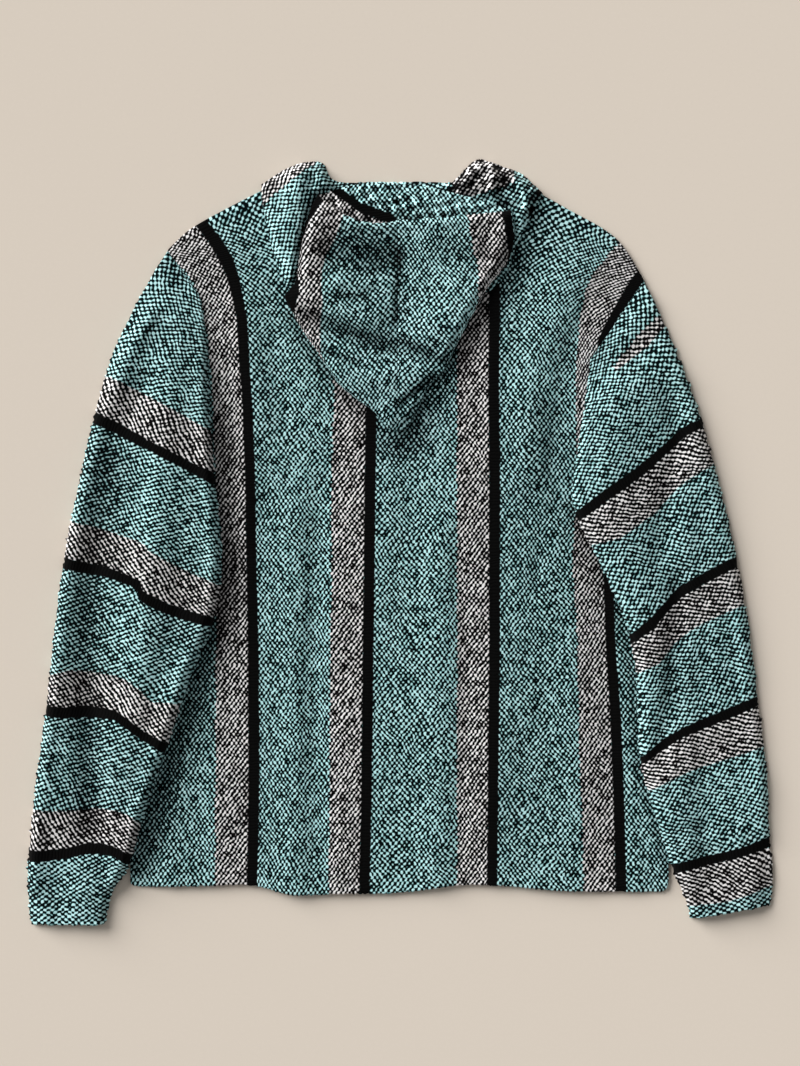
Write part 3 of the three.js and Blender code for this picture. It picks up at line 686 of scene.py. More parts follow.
def stripe_slope(x, y):
    """How steeply the body's stripes lean outward at points, in millimetres across for each one up."""
    table = np.array(BODY_STRIPES)
    slopes = np.gradient(table, table[:, 0], axis=0)
    edges = [np.interp(y, table[:, 0], table[:, k]) for k in range(1, 9)]
    leans = [np.interp(y, table[:, 0], slopes[:, k]) for k in range(1, 9)]
    lean = leans[0]
    for x0, x1, m0, m1 in zip(edges, edges[1:], leans, leans[1:]):
        lean = np.where(x > x0, lerp(m0, m1, np.clip((x - x0) / (x1 - x0), 0, 1)), lean)
    return lean


def body_yarns(p, place):
    """The panel's two sets of yarns, which turn together where the stripes lean outward."""
    x, y = p[..., 0], p[..., 1]
    steps = (np.arange(12) + 0.5) / 12
    lean = np.mean([stripe_slope(x * step, y) for step in steps], axis=0)
    return np.dstack([lerp(x, place + BODY_STRIPES[0][1], 0.8), y + 0.7 * lean * x])


def body_parts(panel, z_top, z_bottom, rise, columns, rows, seed):
    """A panel between two heights, with what it rises by and how many points it has."""
    u = np.linspace(0, 1, columns)
    v = np.linspace(0, 1, rows)
    v[np.argmin(np.abs(v - ARMHOLE))] = ARMHOLE
    p = panel.grid(u, v)
    up = rise(p)
    thin = 1 - fade(-outside(p, panel.outline()), 0, 3)
    upper = np.dstack([p, z_top - THIN_EDGE[0] * thin + up])
    lower = np.dstack([p, z_bottom + THIN_EDGE[1] * thin + up])
    # Along the armhole the edge stays back from the sleeve that is sewn to it.
    sides = np.where(v > ARMHOLE - 0.05, 0.0, nubs(rows, seed + 1))
    bulge = [nubs(columns, seed), sides, 0.6, sides]
    place = body_stripes(p)
    stripe = np.clip(place, PLAIN, 3 * REPEAT + BLACK + TEAL)
    to_hem = np.linalg.norm(p - p[:1], axis=-1)
    # Painted shadow beside the sleeves and round the hood; the last picks at the hem are made lighter.
    painted_shade = folds(PAINTED_SHADE_BODY, p) + EDGE_WEAVE * peak(to_hem, 7)
    return [striped(closed_sheet(upper, lower, bulge), body_yarns(p, place), stripe, painted_shade)]


# ---- sleeves ----


def sleeve_base(p, q, along):
    """Height of a sleeve's underside: on the surface beside the body, and up on the body over it."""
    away = smooth(along / 40)  # how clear of the armhole's seam a point is
    over = 1 - fade(outside(p, BACK_OUTLINE), lerp(0.8, 16, away), lerp(9, 24, away))
    level = lerp(fade(q, 0.5, 0.35), 1, smooth(along / 32))
    return LIFT * over * level


def sleeve_stripes(table, s, q, turned):
    """How far along the stripes each point of a sleeve lies, in millimetres of cloth."""
    way = -1 if turned else 1
    marks = [(1, 0), (2, GREY), (3, BLACK)][::way]
    section = s * (len(SLEEVE_LEFT) - 1)
    edges = [read(table, q, 3 * k + column) for k in range(4) for column, _ in marks]
    places = [way * k * REPEAT + at for k in range(4) for _, at in marks]
    before = places[0] + way * np.maximum((section - edges[0]) * PACE[0], PLAIN)
    after = places[-1] + way * np.minimum((section - edges[-1]) * PACE[1], TEAL)
    return across_stripes(section, edges, places, before, after)


def both_halves(values):
    """Rows of a sleeve's values across its top, carried on back across its underside."""
    return np.concatenate([values, values[:, 1:-1][:, ::-1]], axis=1)


def sleeve_parts(rows, fold_table, creases, painted_shade_table, stripes, turned, seed):
    """A sleeve as a flattened tube: each section runs across its top, then back across its underside."""
    table = np.array(rows, float)
    outer, inner = Curve(table[:, :2]), Curve(table[:, 2:])
    s = np.concatenate([np.linspace(0, SET_IN, 40), np.linspace(SET_IN, 1, 262)[1:]])[:, None]
    start, end = outer.at(s[:, 0])[:, None], inner.at(s[:, 0])[:, None]
    width = np.linalg.norm(end - start, axis=-1)
    across = (end - start) / width[..., None]

    # Where the points of a section lie across it: a turn at each folded edge, and the flat between.
    turn = np.array([0, 0.12, 0.45, 0.95, 1.6, 2.4, TURN])
    turned_up = np.sqrt(1 - (1 - turn / TURN) ** 2)
    none, middle = np.zeros(33), np.linspace(0, 1, 35)[1:-1]
    share = np.concatenate([turned_up, np.ones(33), turned_up[::-1]])
    pull = np.concatenate([1 - turned_up, none, turned_up[::-1] - 1])
    flat_run = TURN + middle * (width - 2 * TURN)
    at = np.hstack([0 * width + turn, flat_run, width - turn[::-1]])
    q = at / width
    flat = start + across * at[..., None]

    along = s * outer.lengths[-1]
    base = sleeve_base(flat, q, along)
    rim = np.minimum(at, width - at)
    ends = smooth(s / SET_IN)
    swell = smooth(rim / lerp(22, 7, fade(q, 0.3, 0.4)))
    loft = lerp(*SLEEVE_LOFT, fade(q, 0.3, 0.5)) * swell * ends
    waves = sleeve_folds(fold_table, s, q) + folds(creases, flat)
    waves = waves + 0.8 * ripple(flat, 66, seed) + 0.45 * ripple(flat, 27, seed + 1)
    height = np.maximum(loft + waves, 0) * ends * fade(rim, -3, 9)
    puff = SLACK + SLEEVE_LIMIT * np.tanh(height / SLEEVE_LIMIT)

    def ring(tuck, half):
        """The upper and the lower half of each section, one cloth's thickness in for the inside."""
        p = start + across * (at + pull * tuck)[..., None]
        middle_z = base + STACK / 2
        top = np.dstack([p, middle_z + half * share + puff * share])
        low = np.dstack([p, middle_z - half * share])
        return np.concatenate([top, low[:, 1:-1][:, ::-1]], axis=1)

    outside_ring, inside_ring = ring(0, STACK / 2), ring(CLOTH, AIR / 2)
    loose = 1.5 * ripple(outside_ring[..., :2], 5.2, seed + 2) * both_halves(pull[None])
    outside_ring[..., :2] -= across * (loose * ends)[..., None]
    around = outside_ring.shape[1]
    tube = closed_tube(outside_ring, inside_ring, [np.zeros(around), nubs(around, seed + 5)])

    both, over = both_halves(q), both_halves(flat)
    stripe = sleeve_stripes(stripes, s, both, turned)
    if turned:
        stripe = np.maximum(stripe, REPEAT - outside(over, np.array(WEDGE)))
    # Painted shade and painted light along the sleeve's folds; the last picks at the cuff are made lighter.
    painted_shade = folds(painted_shade_table, over) + EDGE_WEAVE * peak(outer.lengths[-1] * (1 - s), 8)
    square = np.stack([-across[..., 1], across[..., 0]], -1)[:, 0]
    steps = np.diff((start + end)[:, 0] / 2, axis=0)
    run, drift = [
        np.concatenate([[0], np.cumsum(np.sum(steps * way[1:], axis=-1))])[:, None]
        for way in (square, across[:, 0])
    ]
    yarn = np.dstack([run + 0 * both, drift + (both - 0.5) * width])
    return [striped(tube, yarn, stripe, painted_shade)]


# Of each sleeve its tables, whether its stripes run the other way, and the seed of its waves.
SLEEVES = {
    "sleeve_left": (
        SLEEVE_LEFT, SLEEVE_FOLDS_LEFT, SLEEVE_CREASES_LEFT, PAINTED_SHADE_SLEEVE_LEFT, SLEEVE_STRIPES_LEFT, False, 70,
    ),
    "sleeve_right": (
        SLEEVE_RIGHT, SLEEVE_FOLDS_RIGHT, SLEEVE_CREASES_RIGHT, PAINTED_SHADE_SLEEVE_RIGHT, SLEEVE_STRIPES_RIGHT,
        True, 80,
    ),
}

# ---- hood ----


class HoodHalf:
    """One half of the hood: the crown's outline, the collar under it and how they are striped."""

    def __init__(self, side):
        left = side < 0
        self.side = side
        self.edge = Curve(CROWN_LEFT if left else CROWN_RIGHT)
        collar = np.array(COLLAR_LEFT if left else COLLAR_RIGHT, float)
        self.low, self.top = Curve(collar[:, :2]), Curve(collar[:, 2:])
        self.seam_x = CENTRE_X + side * SEAM / 2
        mouth = self.crown_point(np.ones(12), np.linspace(1, 0, 13)[1:], NAPE_Y, NAPE_BOW[side])
        self.outline = np.concatenate([self.edge.along(np.linspace(0, 1, 41)), mouth])

    def covers(self):
        """The outlines of what lies on the back: the crown and the collar under it."""
        a = np.linspace(0, 1, 25)
        return [self.outline, np.concatenate([self.low.at(a), self.top.at(a[::-1])])]

    def crown_point(self, t, c, top_y, bow):
        """The point at share t of the way up the crown and share c from the seam to its folded edge."""
        seam = np.stack([np.full(np.shape(t), self.seam_x), lerp(TIP_Y, top_y, t)], -1)
        p = lerp(seam, self.edge.along(t), np.asarray(c)[..., None])
        p[..., 1] += bow * t**3 * 4 * c * (1 - c)
        return p


def nape_base(p):
    """Height of the underside of the hood's folded cloth: on the collar above, on the back below."""
    return LIFT + (CLOTH + AIR) * fade(p[..., 1], COLLAR_Y - 60, 42)


def crown_puff(p):
    """How far the crown stands off the cloth under it, less along the centre seam."""
    left, right = (Curve(points).along(np.linspace(0, 1, 61)) for points in (CROWN_LEFT, CROWN_RIGHT))
    inside = -outside(p, np.concatenate([left, right[::-1]]))
    from_seam = smooth(np.abs(p[..., 0] - CENTRE_X) / 4.5)
    waves = folds(CROWN_FOLDS, p) + folds(CROWN_CREASES, p)
    waves = waves + 0.35 * ripple(p, 42, 21) + 0.25 * ripple(p, 17, 22)
    height = np.maximum(0, CROWN_PUFF + CROWN_RISE + waves)
    return fade(inside, -2, 13) * CROWN_LIMIT * np.tanh(height / CROWN_LIMIT) - 0.5 * (1 - from_seam)


def crown_part(hood):
    """The crown from the centre seam to its folded edge, and on back under it as the nape."""
    rows, columns, bend = 110, 62, 7
    t = np.linspace(0, 1, rows)[:, None]
    grid_t, grid_c = np.broadcast_arrays(t, np.linspace(0, 0.972, columns))
    upper = hood.crown_point(grid_t, grid_c, LIP_Y, LIP_SAG[hood.side])
    lower = hood.crown_point(grid_t, grid_c, NAPE_Y, NAPE_BOW[hood.side])[:, ::-1]
    fold = hood.edge.along(t[:, 0])
    to_lip = (1 - t) * (LIP_Y - TIP_Y)
    crown = nape_base(upper) + CLOTH + SLACK + crown_puff(upper) + 1.5 * peak(to_lip - 5, 4.5)
    nape = nape_base(lower) - (CLOTH + AIR - SLACK) * fade(t, 0.93, 0.07)

    # The hairpin turn at the folded edge, seen as a half circle from the crown down to the nape.
    high, low = crown[:, -1] + CLOTH, nape[:, 0]
    middle, reach = (high + low) / 2, (high - low) / 2
    angle = np.linspace(math.pi / 2, -math.pi / 2, bend + 2)[1:-1]
    base = (upper[:, -1] + lower[:, 0]) / 2
    out = fold - base
    room = np.linalg.norm(out, axis=-1)
    loose = 0.5 * ripple(fold, 5.5, 31 if hood.side < 0 else 32)

    def hairpin(stretch, half):
        turned = base[:, None] + out[:, None] * (np.cos(angle)[None] * stretch[:, None])[..., None]
        return np.dstack([turned, middle[:, None] + half[:, None] * np.sin(angle)[None]])

    face = [np.dstack([upper, crown + CLOTH]), hairpin(1 + loose / room, reach), np.dstack([lower, nape])]
    back = [
        np.dstack([upper, crown]),
        hairpin(1 - CLOTH / room, reach - CLOTH),
        np.dstack([lower, nape + CLOTH]),
    ]
    lip_nubs = np.concatenate([nubs(bend + columns, 41, 0.5, 1.3), np.full(columns, 0.6)])
    bulge = [0.4, SEWN_EDGE, lip_nubs, SEWN_EDGE]
    cloth = closed_sheet(np.concatenate(face, 1), np.concatenate(back, 1), bulge)

    p = np.concatenate([upper, np.repeat(fold[:, None], bend, axis=1), lower], 1)
    is_lower = np.arange(columns + bend + columns) >= columns + bend
    beyond = np.concatenate([np.zeros(columns), np.linspace(1, 8, bend), np.full(columns, 8.0)])
    stripe = np.where(is_lower, mouth_stripes(hood, p), crown_stripes(hood, p, beyond * ~is_lower))
    x, y = crown_lean(p)
    yarn = np.dstack([np.where(is_lower, p[..., 0], x) + beyond * hood.side, y])
    # Painted shade on the nape under the hood's lip, mottled at random, and a painted highlight along the
    # lip's edge on the crown.
    painted_shade_under_lip = 0.9 * peak(p[..., 1] - LIP_Y - 3, 6) + 1.1 * ripple(p, 8, 53) - 0.1
    painted_lip_highlight = -0.25 * peak(to_lip, 5) * (np.arange(len(beyond)) < columns)
    painted_shade = np.where(is_lower, painted_shade_under_lip, folds(PAINTED_SHADE_CROWN, p) + painted_lip_highlight)
    return striped(cloth, yarn, stripe, painted_shade)


def crown_lean(p):
    """The crown's yarns, which lean in towards the centre seam above its tip."""
    x, y = p[..., 0], p[..., 1]
    return x + 0.12 * np.abs(x) * (y - 230) / 110, 1.1 * y + 0.16 * np.abs(x)


def crown_stripes(hood, p, beyond):
    """The off-white stripe near the crown's folded edge, with the black one beyond it on the left."""
    x, y = p[..., 0], p[..., 1]
    if hood.side < 0:
        edge, black = read(CROWN_STRIPE_LEFT, y), read(CROWN_BLACK_LEFT, y)
        stripe = np.minimum((x - edge) / (black - edge) * GREY + beyond, 41)
    else:
        stripe = (x - read(CROWN_STRIPE_RIGHT, y)) * 0.92 + beyond
    return np.maximum(stripe, PLAIN)


def mouth_stripes(hood, p):
    """The stripe inside the hood, black above and off-white below it, on the left half alone."""
    if hood.side > 0:
        return np.full(p.shape[:-1], TEAL)
    return np.clip(BLACK + (p[..., 1] - read(MOUTH_STRIPE, p[..., 0])) * 1.05, PLAIN, 90)


def collar_part(hood):
    """The hood's cloth round the neck: hidden under the crown, and a standing roll beside it."""
    b = np.concatenate([np.linspace(0, 0.5, 20), np.linspace(0.5, 1, 56)[1:]])[:, None]
    a = np.concatenate([np.linspace(0, 0.35, 24), np.linspace(0.35, 1, 110)[1:]])
    low, top = hood.low.at(a)[None], hood.top.at(a)[None]
    p = lerp(low, top, b[..., None])
    p[:, 0, 0] = hood.seam_x
    to_top, to_low = (np.linalg.norm(p - rim, axis=-1) for rim in (top, low))
    from_crown = fade(outside(p, hood.outline), -1, 8 if hood.side < 0 else 15)
    roll = from_crown * smooth(to_low / 16) * smooth(to_top / 9)
    drop = smooth(1 - to_top / 16) * fade(outside(p, BACK_OUTLINE), 2, 10)
    waves = folds(ROLL_FOLDS, p) + (folds(ROLL_CREASES, p) + 0.5 * ripple(p, 22, 51)) * from_crown
    base = LIFT - (LIFT - AIR) * drop + np.maximum(ROLL_HEIGHT + ROLL_RISE + waves, 0.5) * roll
    upper = np.dstack([p, base + CLOTH - 0.5 * (1 - smooth(to_top / 4))])
    bulge = [0.3, 0.7, nubs(p.shape[1], 61 + (hood.side < 0)), SEWN_EDGE]
    cloth = closed_sheet(upper, np.dstack([p, base]), bulge)
    yarn = np.dstack([p @ np.array(way) for way in ROLL_YARNS[hood.side]])
    # Painted shade and painted light on the rolls' creases, mottled at random inside the hood's mouth.
    in_mouth = fade(p[..., 1], 332, 8) * fade(p[..., 0], -80, 20)
    painted_shade = folds(PAINTED_SHADE_ROLL, p) + 1.1 * ripple(p, 8, 53) * in_mouth
    return striped(cloth, yarn, np.clip(roll_stripes(hood, p), PLAIN, 30), painted_shade)


def roll_stripes(hood, p):
    """The off-white stripe that crosses the top of each roll beside the hood's mouth."""
    x, y = p[..., 0], p[..., 1]
    if hood.side < 0:
        return (x + 90.8) * -0.64 + (y - 395.3) * 0.77
    return np.min([(y - 366) * 0.95 - (x - 90) * 0.28, 119 - x, x - 54], axis=0)


# ---- materials ----


class Nodes:
    """Adds nodes to a material one after another."""

    def __init__(self, material):
        material.use_nodes = True
        self.tree = material.node_tree
        self.tree.nodes.clear()

    def add(self, kind, inputs=(), **settings):
        node = self.tree.nodes.new(kind)
        for name, value in settings.items():
            setattr(node, name, value)
        for name, value in dict(inputs).items():
            self.feed(node.inputs[name], value)
        return node

    def feed(self, socket, value):
        if isinstance(value, bpy.types.NodeSocket):
            self.tree.links.new(value, socket)
        else:
            socket.default_value = value

    def math(self, operation, *values, clamp=False):
        node = self.tree.nodes.new("ShaderNodeMath")
        node.operation, node.use_clamp = operation, clamp
        for socket, value in zip(node.inputs, values):
            self.feed(socket, value)
        return node.outputs[0]

    def sum(self, *values):
        return functools.reduce(lambda total, value: self.math("ADD", total, value), values)

    def times(self, a, b):
        return self.math("MULTIPLY", a, b)

    def scaled(self, value, factor, shift):
        return self.math("MULTIPLY_ADD", value, factor, shift)

    def noise(self, vector, scale, detail=1.0, roughness=0.5):
        inputs = {"Vector": vector, "Scale": scale, "Detail": detail, "Roughness": roughness}
        return self.add("ShaderNodeTexNoise", inputs).outputs["Fac"]

    def place(self, x, y, z=0.0):
        return self.add("ShaderNodeCombineXYZ", {"X": x, "Y": y, "Z": z}).outputs[0]

    def attribute(self, name):
        return self.add("ShaderNodeAttribute", attribute_name=name).outputs["Fac"]

    def step(self, value, low, high):
        inputs = {"Value": value, "From Min": low, "From Max": high}
        return self.add("ShaderNodeMapRange", inputs, interpolation_type="SMOOTHSTEP").outputs[0]

    def mix(self, factor, a, b, kind="RGBA"):
        """One of two colours, or with the kind FLOAT one of two numbers."""
        node = self.add("ShaderNodeMix", data_type=kind)
        first, result = (6, 2) if kind == "RGBA" else (2, 0)
        for socket, value in ((0, factor), (first, a), (first + 1, b)):
            self.feed(node.inputs[socket], value)
        return node.outputs[result]

    def shade(self, colour, factor):
        """A colour made lighter or darker."""
        node = self.add("ShaderNodeVectorMath", operation="SCALE")
        self.feed(node.inputs[0], colour)
        self.feed(node.inputs["Scale"], factor)
        return node.outputs[0]

    def finish(self, inputs, roughness, specular, sheen=0.0, sheen_roughness=0.5):
        """The surface, and the material's output."""
        surface = self.add("ShaderNodeBsdfPrincipled", {
            **inputs, "Roughness": roughness, "Specular IOR Level": specular,
            "Sheen Weight": sheen, "Sheen Roughness": sheen_roughness,
        })
        self.add("ShaderNodeOutputMaterial", {"Surface": surface.outputs[0]})


def rgba(colour):
    return (*colour, 1.0)


def striped_cloth(name, scene, seed, coarse, slant):
    """The woven cloth: bright yarns in half-shifted rows on a black ground, in teal, off-white and black.

    Everything is laid out in millimetres of cloth: x across the stripes and y along them. The seed tells
    one cloth from another, coarse is the size of its floats and slant the way that its pale ones chain.
    """
    material = bpy.data.materials.get(name) or bpy.data.materials.new(name)
    n, weave, look = Nodes(material), scene.hoodie_weave, scene.hoodie_colours
    place = n.add("ShaderNodeSeparateXYZ", {"Vector": n.add("ShaderNodeUVMap", uv_map="Weave").outputs[0]})
    x, y = place.outputs["X"], place.outputs["Y"]
    # The point attribute painted_shade holds painted shade, and painted light where it is below zero.
    stripe, painted_shade = n.attribute("stripe"), n.attribute("painted_shade")
    pick, end = weave.pick * coarse * 1000, weave.end * coarse * 1000

    def chance(offset, scale, detail=1.0, roughness=0.5):
        return n.noise(n.place(x, y, seed + offset), scale, detail, roughness)

    def wander(reach, *field):
        """Soft chance between -reach and reach."""
        return n.scaled(chance(*field), 2 * reach, -reach)

    # The yarns wander: a slow drift of whole areas and a short wobble from pick to pick.
    drift = wander(4.5, 0.0, 0.018)
    yarn_x = n.sum(x, drift, wander(1.6, 7.3, 0.13))
    yarn_y = n.sum(y, drift, wander(1.9, 3.1, 0.12))

    # Half-shifted rows of floats lie where two diagonals cross.
    half_x = n.math("DIVIDE", yarn_x, 2 * pick)
    half_y = n.math("DIVIDE", yarn_y, 2 * end)
    rising, falling = n.sum(half_x, half_y), n.math("SUBTRACT", half_y, half_x)
    row_a, row_b = n.math("ROUND", rising), n.math("ROUND", falling)
    float_x = n.times(n.math("SUBTRACT", row_a, row_b), pick)
    own_place = n.place(row_a, row_b, seed)
    lot = n.add("ShaderNodeTexWhiteNoise", {"Vector": own_place}, noise_dimensions="3D").outputs
    luck = lot["Value"]
    second = n.add("ShaderNodeSeparateColor", {"Color": lot["Color"]}).outputs["Green"]

    # Each float takes its stripe's colour from its own middle, so the stripes' edges step with the weave.
    to_middle = n.times(n.math("SUBTRACT", float_x, yarn_x), 0.8)
    within = n.math("FLOORED_MODULO", n.sum(stripe, to_middle), REPEAT)
    off_white = n.math("LESS_THAN", within, GREY)

    # One diagonal is often the stronger, so that the floats join in slanting chains.
    lean = n.scaled(chance(11.7, 0.07, 2.0), 1.2, n.scaled(off_white, slant, -0.62))
    up, down = (n.math("COSINE", n.times(turn, math.tau)) for turn in (rising, falling))
    floats = n.sum(n.times(up, n.math("ADD", 1.0, lean)), n.times(down, n.math("SUBTRACT", 1.0, lean)))
    patch = wander(0.45, 19.0, 0.06, 2.0, 0.6)
    missing = n.scaled(n.step(luck, 0.72, 1.0), -1.0, n.scaled(second, 0.5, -0.12))
    hair = wander(1.8, 23.0, 0.36, 2.0, 0.6)
    # Painted shade hides more of the bright floats, and painted light shows more of them.
    shown = n.sum(floats, patch, missing, hair, n.scaled(painted_shade, -0.5, 0.05))
    bright = n.step(shown, -0.1, 0.55)
    crest = n.step(shown, -0.1, 1.7)

    # The black stripes are ribbed and solid, with worn edges.
    worn = n.sum(n.math("FLOORED_MODULO", stripe, REPEAT), wander(1.3, 29.0, 0.3))
    from_grey, from_teal = n.step(worn, GREY - 1.5, GREY - 0.4), n.step(worn, BLACK + 1.5, BLACK + 0.4)
    black = n.times(from_grey, from_teal)
    rib = n.math("ABSOLUTE", n.math("SINE", n.times(yarn_y, math.pi / (weave.end * 1000))))
    low_rib = n.times(rib, 0.35)

    lit = n.math("MULTIPLY", crest, n.scaled(second, 0.65, 0.7), clamp=True)
    teal = n.mix(lit, rgba(look.teal_deep), rgba(look.teal))
    pale = n.mix(lit, rgba(look.off_white_deep), rgba(look.off_white))
    ground = n.mix(off_white, rgba(look.ground), rgba(look.ground_warm))
    cloth = n.mix(bright, ground, n.mix(off_white, teal, pale))
    # The cloth's tone wanders at random; painted shade darkens it and painted light lightens it.
    tone = n.scaled(chance(31.0, 0.5, 2.0), 0.5, n.scaled(painted_shade, -0.55, 0.75))
    # The black is lighter along the crests of its ribs.
    black_cloth = n.mix(low_rib, rgba(look.black), rgba(look.black_rib_crest))
    colour = n.mix(black, n.shade(cloth, tone), black_cloth)

    standing = n.sum(bright, n.times(hair, 0.1))
    height = n.mix(black, standing, low_rib, kind="FLOAT")
    bump = n.add("ShaderNodeBump", {"Strength": 0.8, "Distance": weave.relief, "Height": height})
    n.finish({"Base Color": colour, "Normal": bump.outputs[0]}, 0.92, 0.03, look.nap, 0.45)
    return material


def plain_floor(name, colour):
    material = bpy.data.materials.get(name) or bpy.data.materials.new(name)
    n = Nodes(material)
    place = n.add("ShaderNodeTexCoord").outputs["Object"]
    grain, broad = n.noise(place, 260.0, 3.0, 0.6), n.noise(place, 1.1, 2.0)
    tone = n.scaled(grain, 0.035, n.scaled(broad, 0.03, 0.967))
    n.finish({"Base Color": n.shade(colour, tone)}, 0.9, 0.1)
    return material


# ---- what a user can change ----


def length_property(name, description, default, low, high):
    return bpy.props.FloatProperty(
        name=name, description=description, default=default, min=low, max=high, precision=5, unit="LENGTH"
    )


class WeaveSizes(bpy.types.PropertyGroup):
    """The sizes of the weave"""

    pick: length_property(
        "Across the stripes", "Half the distance between floats across the stripes", 0.00253, 0.001, 0.01
    )
    end: length_property(
        "Along the stripes", "Half the distance between floats along the stripes", 0.00339, 0.001, 0.01
    )
    relief: length_property("Relief", "How far the bright yarns stand off the black ones", 0.0011, 0, 0.005)
    loft: length_property(
        "Loft", "How far the back stands off the front between its creases", 0.0020, 0, 0.004
    )


def colour_property(name, description, colour):
    return bpy.props.FloatVectorProperty(
        name=name, description=description, subtype="COLOR", size=3, min=0, max=1, default=colour
    )


class ClothColours(bpy.types.PropertyGroup):
    """The colours of the yarns"""

    teal: colour_property("Teal", "The bright teal yarn", linear(193, 233, 235))
    teal_deep: colour_property("Deep teal", "The darker floats of the teal yarn", linear(88, 146, 148))
    off_white: colour_property("Off-white", "The bright yarn of the pale stripes", linear(235, 233, 233))
    off_white_deep: colour_property("Grey", "The darker floats of the pale stripes", linear(108, 105, 106))
    ground: colour_property("Ground", "The black ground under the teal", linear(2, 9, 10))
    ground_warm: colour_property(
        "Pale stripes' ground", "The black ground under the off-white", linear(5, 4, 4)
    )
    black: colour_property("Black", "The solid black stripes", linear(5, 5, 5))
    # The black along the crests of the ribs, lighter than between them.
    black_rib_crest: colour_property("Worn black", "The ribs of the black stripes", linear(15, 15, 15))
    nap: bpy.props.FloatProperty(
        name="Nap", description="How much the yarns' loose hairs catch the light", default=0.03, min=0, max=1,
        subtype="FACTOR",
    )


class StageLook(bpy.types.PropertyGroup):
    """The floor, the light and the camera"""

    floor: colour_property("Floor", "The plain surface that the garment lies on", linear(217, 206, 193))
    key: bpy.props.FloatProperty(
        name="Window", description="Strength of the large soft light from the upper left", default=4.8, min=0
    )
    softness: bpy.props.FloatProperty(
        name="Softness", description="How wide the window looks from the garment", default=0.8, min=0, max=3,
        subtype="ANGLE",
    )
    fill: bpy.props.FloatProperty(
        name="Room", description="Strength of the light from all round", default=0.29, min=0
    )
    height: bpy.props.FloatProperty(
        name="Camera height", description="Height of the camera over the garment", default=2.4, min=0.5,
        unit="LENGTH",
    )


# ---- operators ----


class HOODIE_OT_body(bpy.types.Operator):
    """Makes the front and back panels, one lying on the other"""

    bl_idname = "hoodie.body"
    bl_label = "Body panels"
    bl_options = {"REGISTER", "UNDO"}

    def execute(self, context):
        material = striped_cloth("body_cloth", context.scene, seed=1.0, coarse=0.95, slant=-0.22)
        loft = context.scene.hoodie_weave.loft * 1000
        flat, risen = lambda p: np.zeros(p.shape[:-1]), lambda p: back_rise(p, loft)
        front = body_parts(Panel(FRONT_NECK_Y), CLOTH, 0, flat, columns=300, rows=60, seed=11)
        back = body_parts(BACK, STACK, STACK - CLOTH, risen, columns=380, rows=110, seed=14)
        panels = (("front_panel", front, "floor"), ("back_panel", back, "front_panel_cloth"))
        for name, parts, under in panels:
            cloth_piece(name, parts, material)
        return {"FINISHED"}


class HOODIE_OT_sleeves(bpy.types.Operator):
    """Makes the two sleeves, flattened tubes brought down along the sides"""

    bl_idname = "hoodie.sleeves"
    bl_label = "Sleeves"
    bl_options = {"REGISTER", "UNDO"}

    def execute(self, context):
        material = striped_cloth("sleeve_cloth", context.scene, seed=40.0, coarse=1.03, slant=0.25)
        for name, tables in SLEEVES.items():
            cloth_piece(name, sleeve_parts(*tables), material)
        return {"FINISHED"}


class HOODIE_OT_hood(bpy.types.Operator):
    """Makes the two halves of the hood, folded down over the back"""

    bl_idname = "hoodie.hood"
    bl_label = "Hood"
    bl_options = {"REGISTER", "UNDO"}

    def execute(self, context):
        material = striped_cloth("hood_cloth", context.scene, seed=90.0, coarse=1.0, slant=-0.2)
        for name, side in (("hood_left", -1), ("hood_right", 1)):
            parts = [part(HoodHalf(side)) for part in (crown_part, collar_part)]
            cloth_piece(name, parts, material)
        return {"FINISHED"}


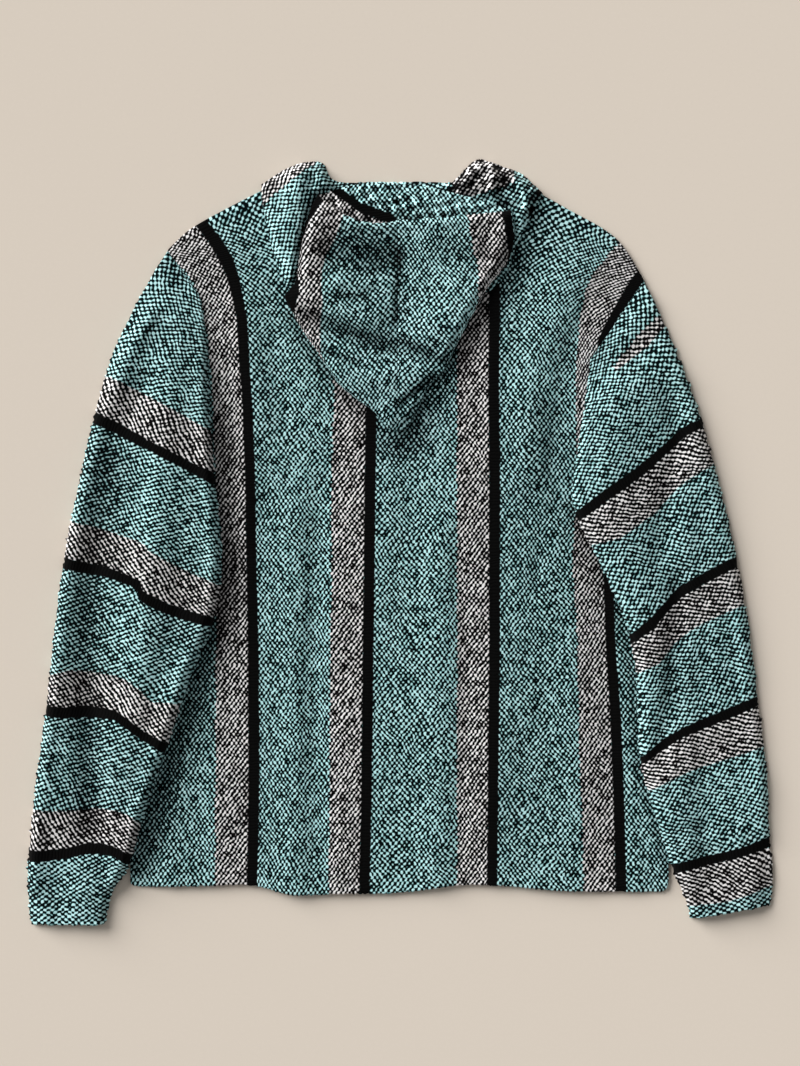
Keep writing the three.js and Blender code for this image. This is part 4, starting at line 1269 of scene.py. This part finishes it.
class HOODIE_OT_stage(bpy.types.Operator):
    """Makes the plain floor, the soft light and the camera straight above"""

    bl_idname = "hoodie.stage"
    bl_label = "Stage"
    bl_options = {"REGISTER", "UNDO"}

    def execute(self, context):
        scene = context.scene
        stage = scene.hoodie_stage
        mesh = bpy.data.meshes.new("floor")
        far = 3.0  # from the middle of the floor to its sides
        mesh.from_pydata([(-far, -far, 0), (far, -far, 0), (far, far, 0), (-far, far, 0)], [], [(0, 1, 2, 3)])
        mesh.materials.append(plain_floor("floor_plaster", stage.floor))
        floor = bpy.data.objects.new("floor", mesh)
        floor.location.z = -0.0006
        scene.collection.objects.link(floor)

        window = bpy.data.lights.new("window", "SUN")
        window.energy, window.angle = stage.key, stage.softness
        window.color = DAYLIGHT
        key = bpy.data.objects.new("window", window)
        key.location = (-1.2, 0.9, 0.76)
        key.rotation_euler = (-Vector(key.location)).to_track_quat("-Z", "Y").to_euler()
        scene.collection.objects.link(key)

        world = bpy.data.worlds.new("room")
        world.use_nodes = True
        air = world.node_tree.nodes["Background"]
        air.inputs["Color"].default_value = rgba(DAYLIGHT)
        air.inputs["Strength"].default_value = stage.fill
        scene.world = world

        lens = bpy.data.cameras.new("camera")
        lens.sensor_fit, lens.sensor_height, lens.sensor_width = "VERTICAL", 36, 36  # millimetres
        lens.lens, lens.clip_end = 77.2, 20
        camera = bpy.data.objects.new("camera", lens)
        camera.location = (-0.0005, 0.0089, stage.height)
        scene.collection.objects.link(camera)
        scene.camera = camera
        scene.view_settings.view_transform = "Standard"
        return {"FINISHED"}


class HOODIE_PT_panel(bpy.types.Panel):
    """Lists the hoodie's pieces and what can be changed on them"""

    bl_idname = "HOODIE_PT_panel"
    bl_label = "Baja hoodie"
    bl_space_type = "VIEW_3D"
    bl_region_type = "UI"
    bl_category = "Hoodie"

    def draw(self, context):
        layout = self.layout
        for operator in OPERATORS:
            layout.operator(operator.bl_idname)
        for group in (context.scene.hoodie_weave, context.scene.hoodie_colours, context.scene.hoodie_stage):
            box = layout.box()
            box.label(text=group.bl_rna.description or group.bl_rna.name)
            for name in group.__annotations__:
                box.prop(group, name)


GROUPS = {"hoodie_weave": WeaveSizes, "hoodie_colours": ClothColours, "hoodie_stage": StageLook}
OPERATORS = [HOODIE_OT_body, HOODIE_OT_sleeves, HOODIE_OT_hood, HOODIE_OT_stage]


def register():
    for cls in [*GROUPS.values(), *OPERATORS, HOODIE_PT_panel]:
        bpy.utils.register_class(cls)
    for name, group in GROUPS.items():
        setattr(bpy.types.Scene, name, bpy.props.PointerProperty(type=group))


def unregister():
    for name in GROUPS:
        delattr(bpy.types.Scene, name)
    for cls in reversed([*GROUPS.values(), *OPERATORS, HOODIE_PT_panel]):
        bpy.utils.unregister_class(cls)


def main():
    register()
    bpy.ops.hoodie.body()
    bpy.ops.hoodie.sleeves()
    bpy.ops.hoodie.hood()
    bpy.ops.hoodie.stage()


if __name__ == "__main__":
    main()
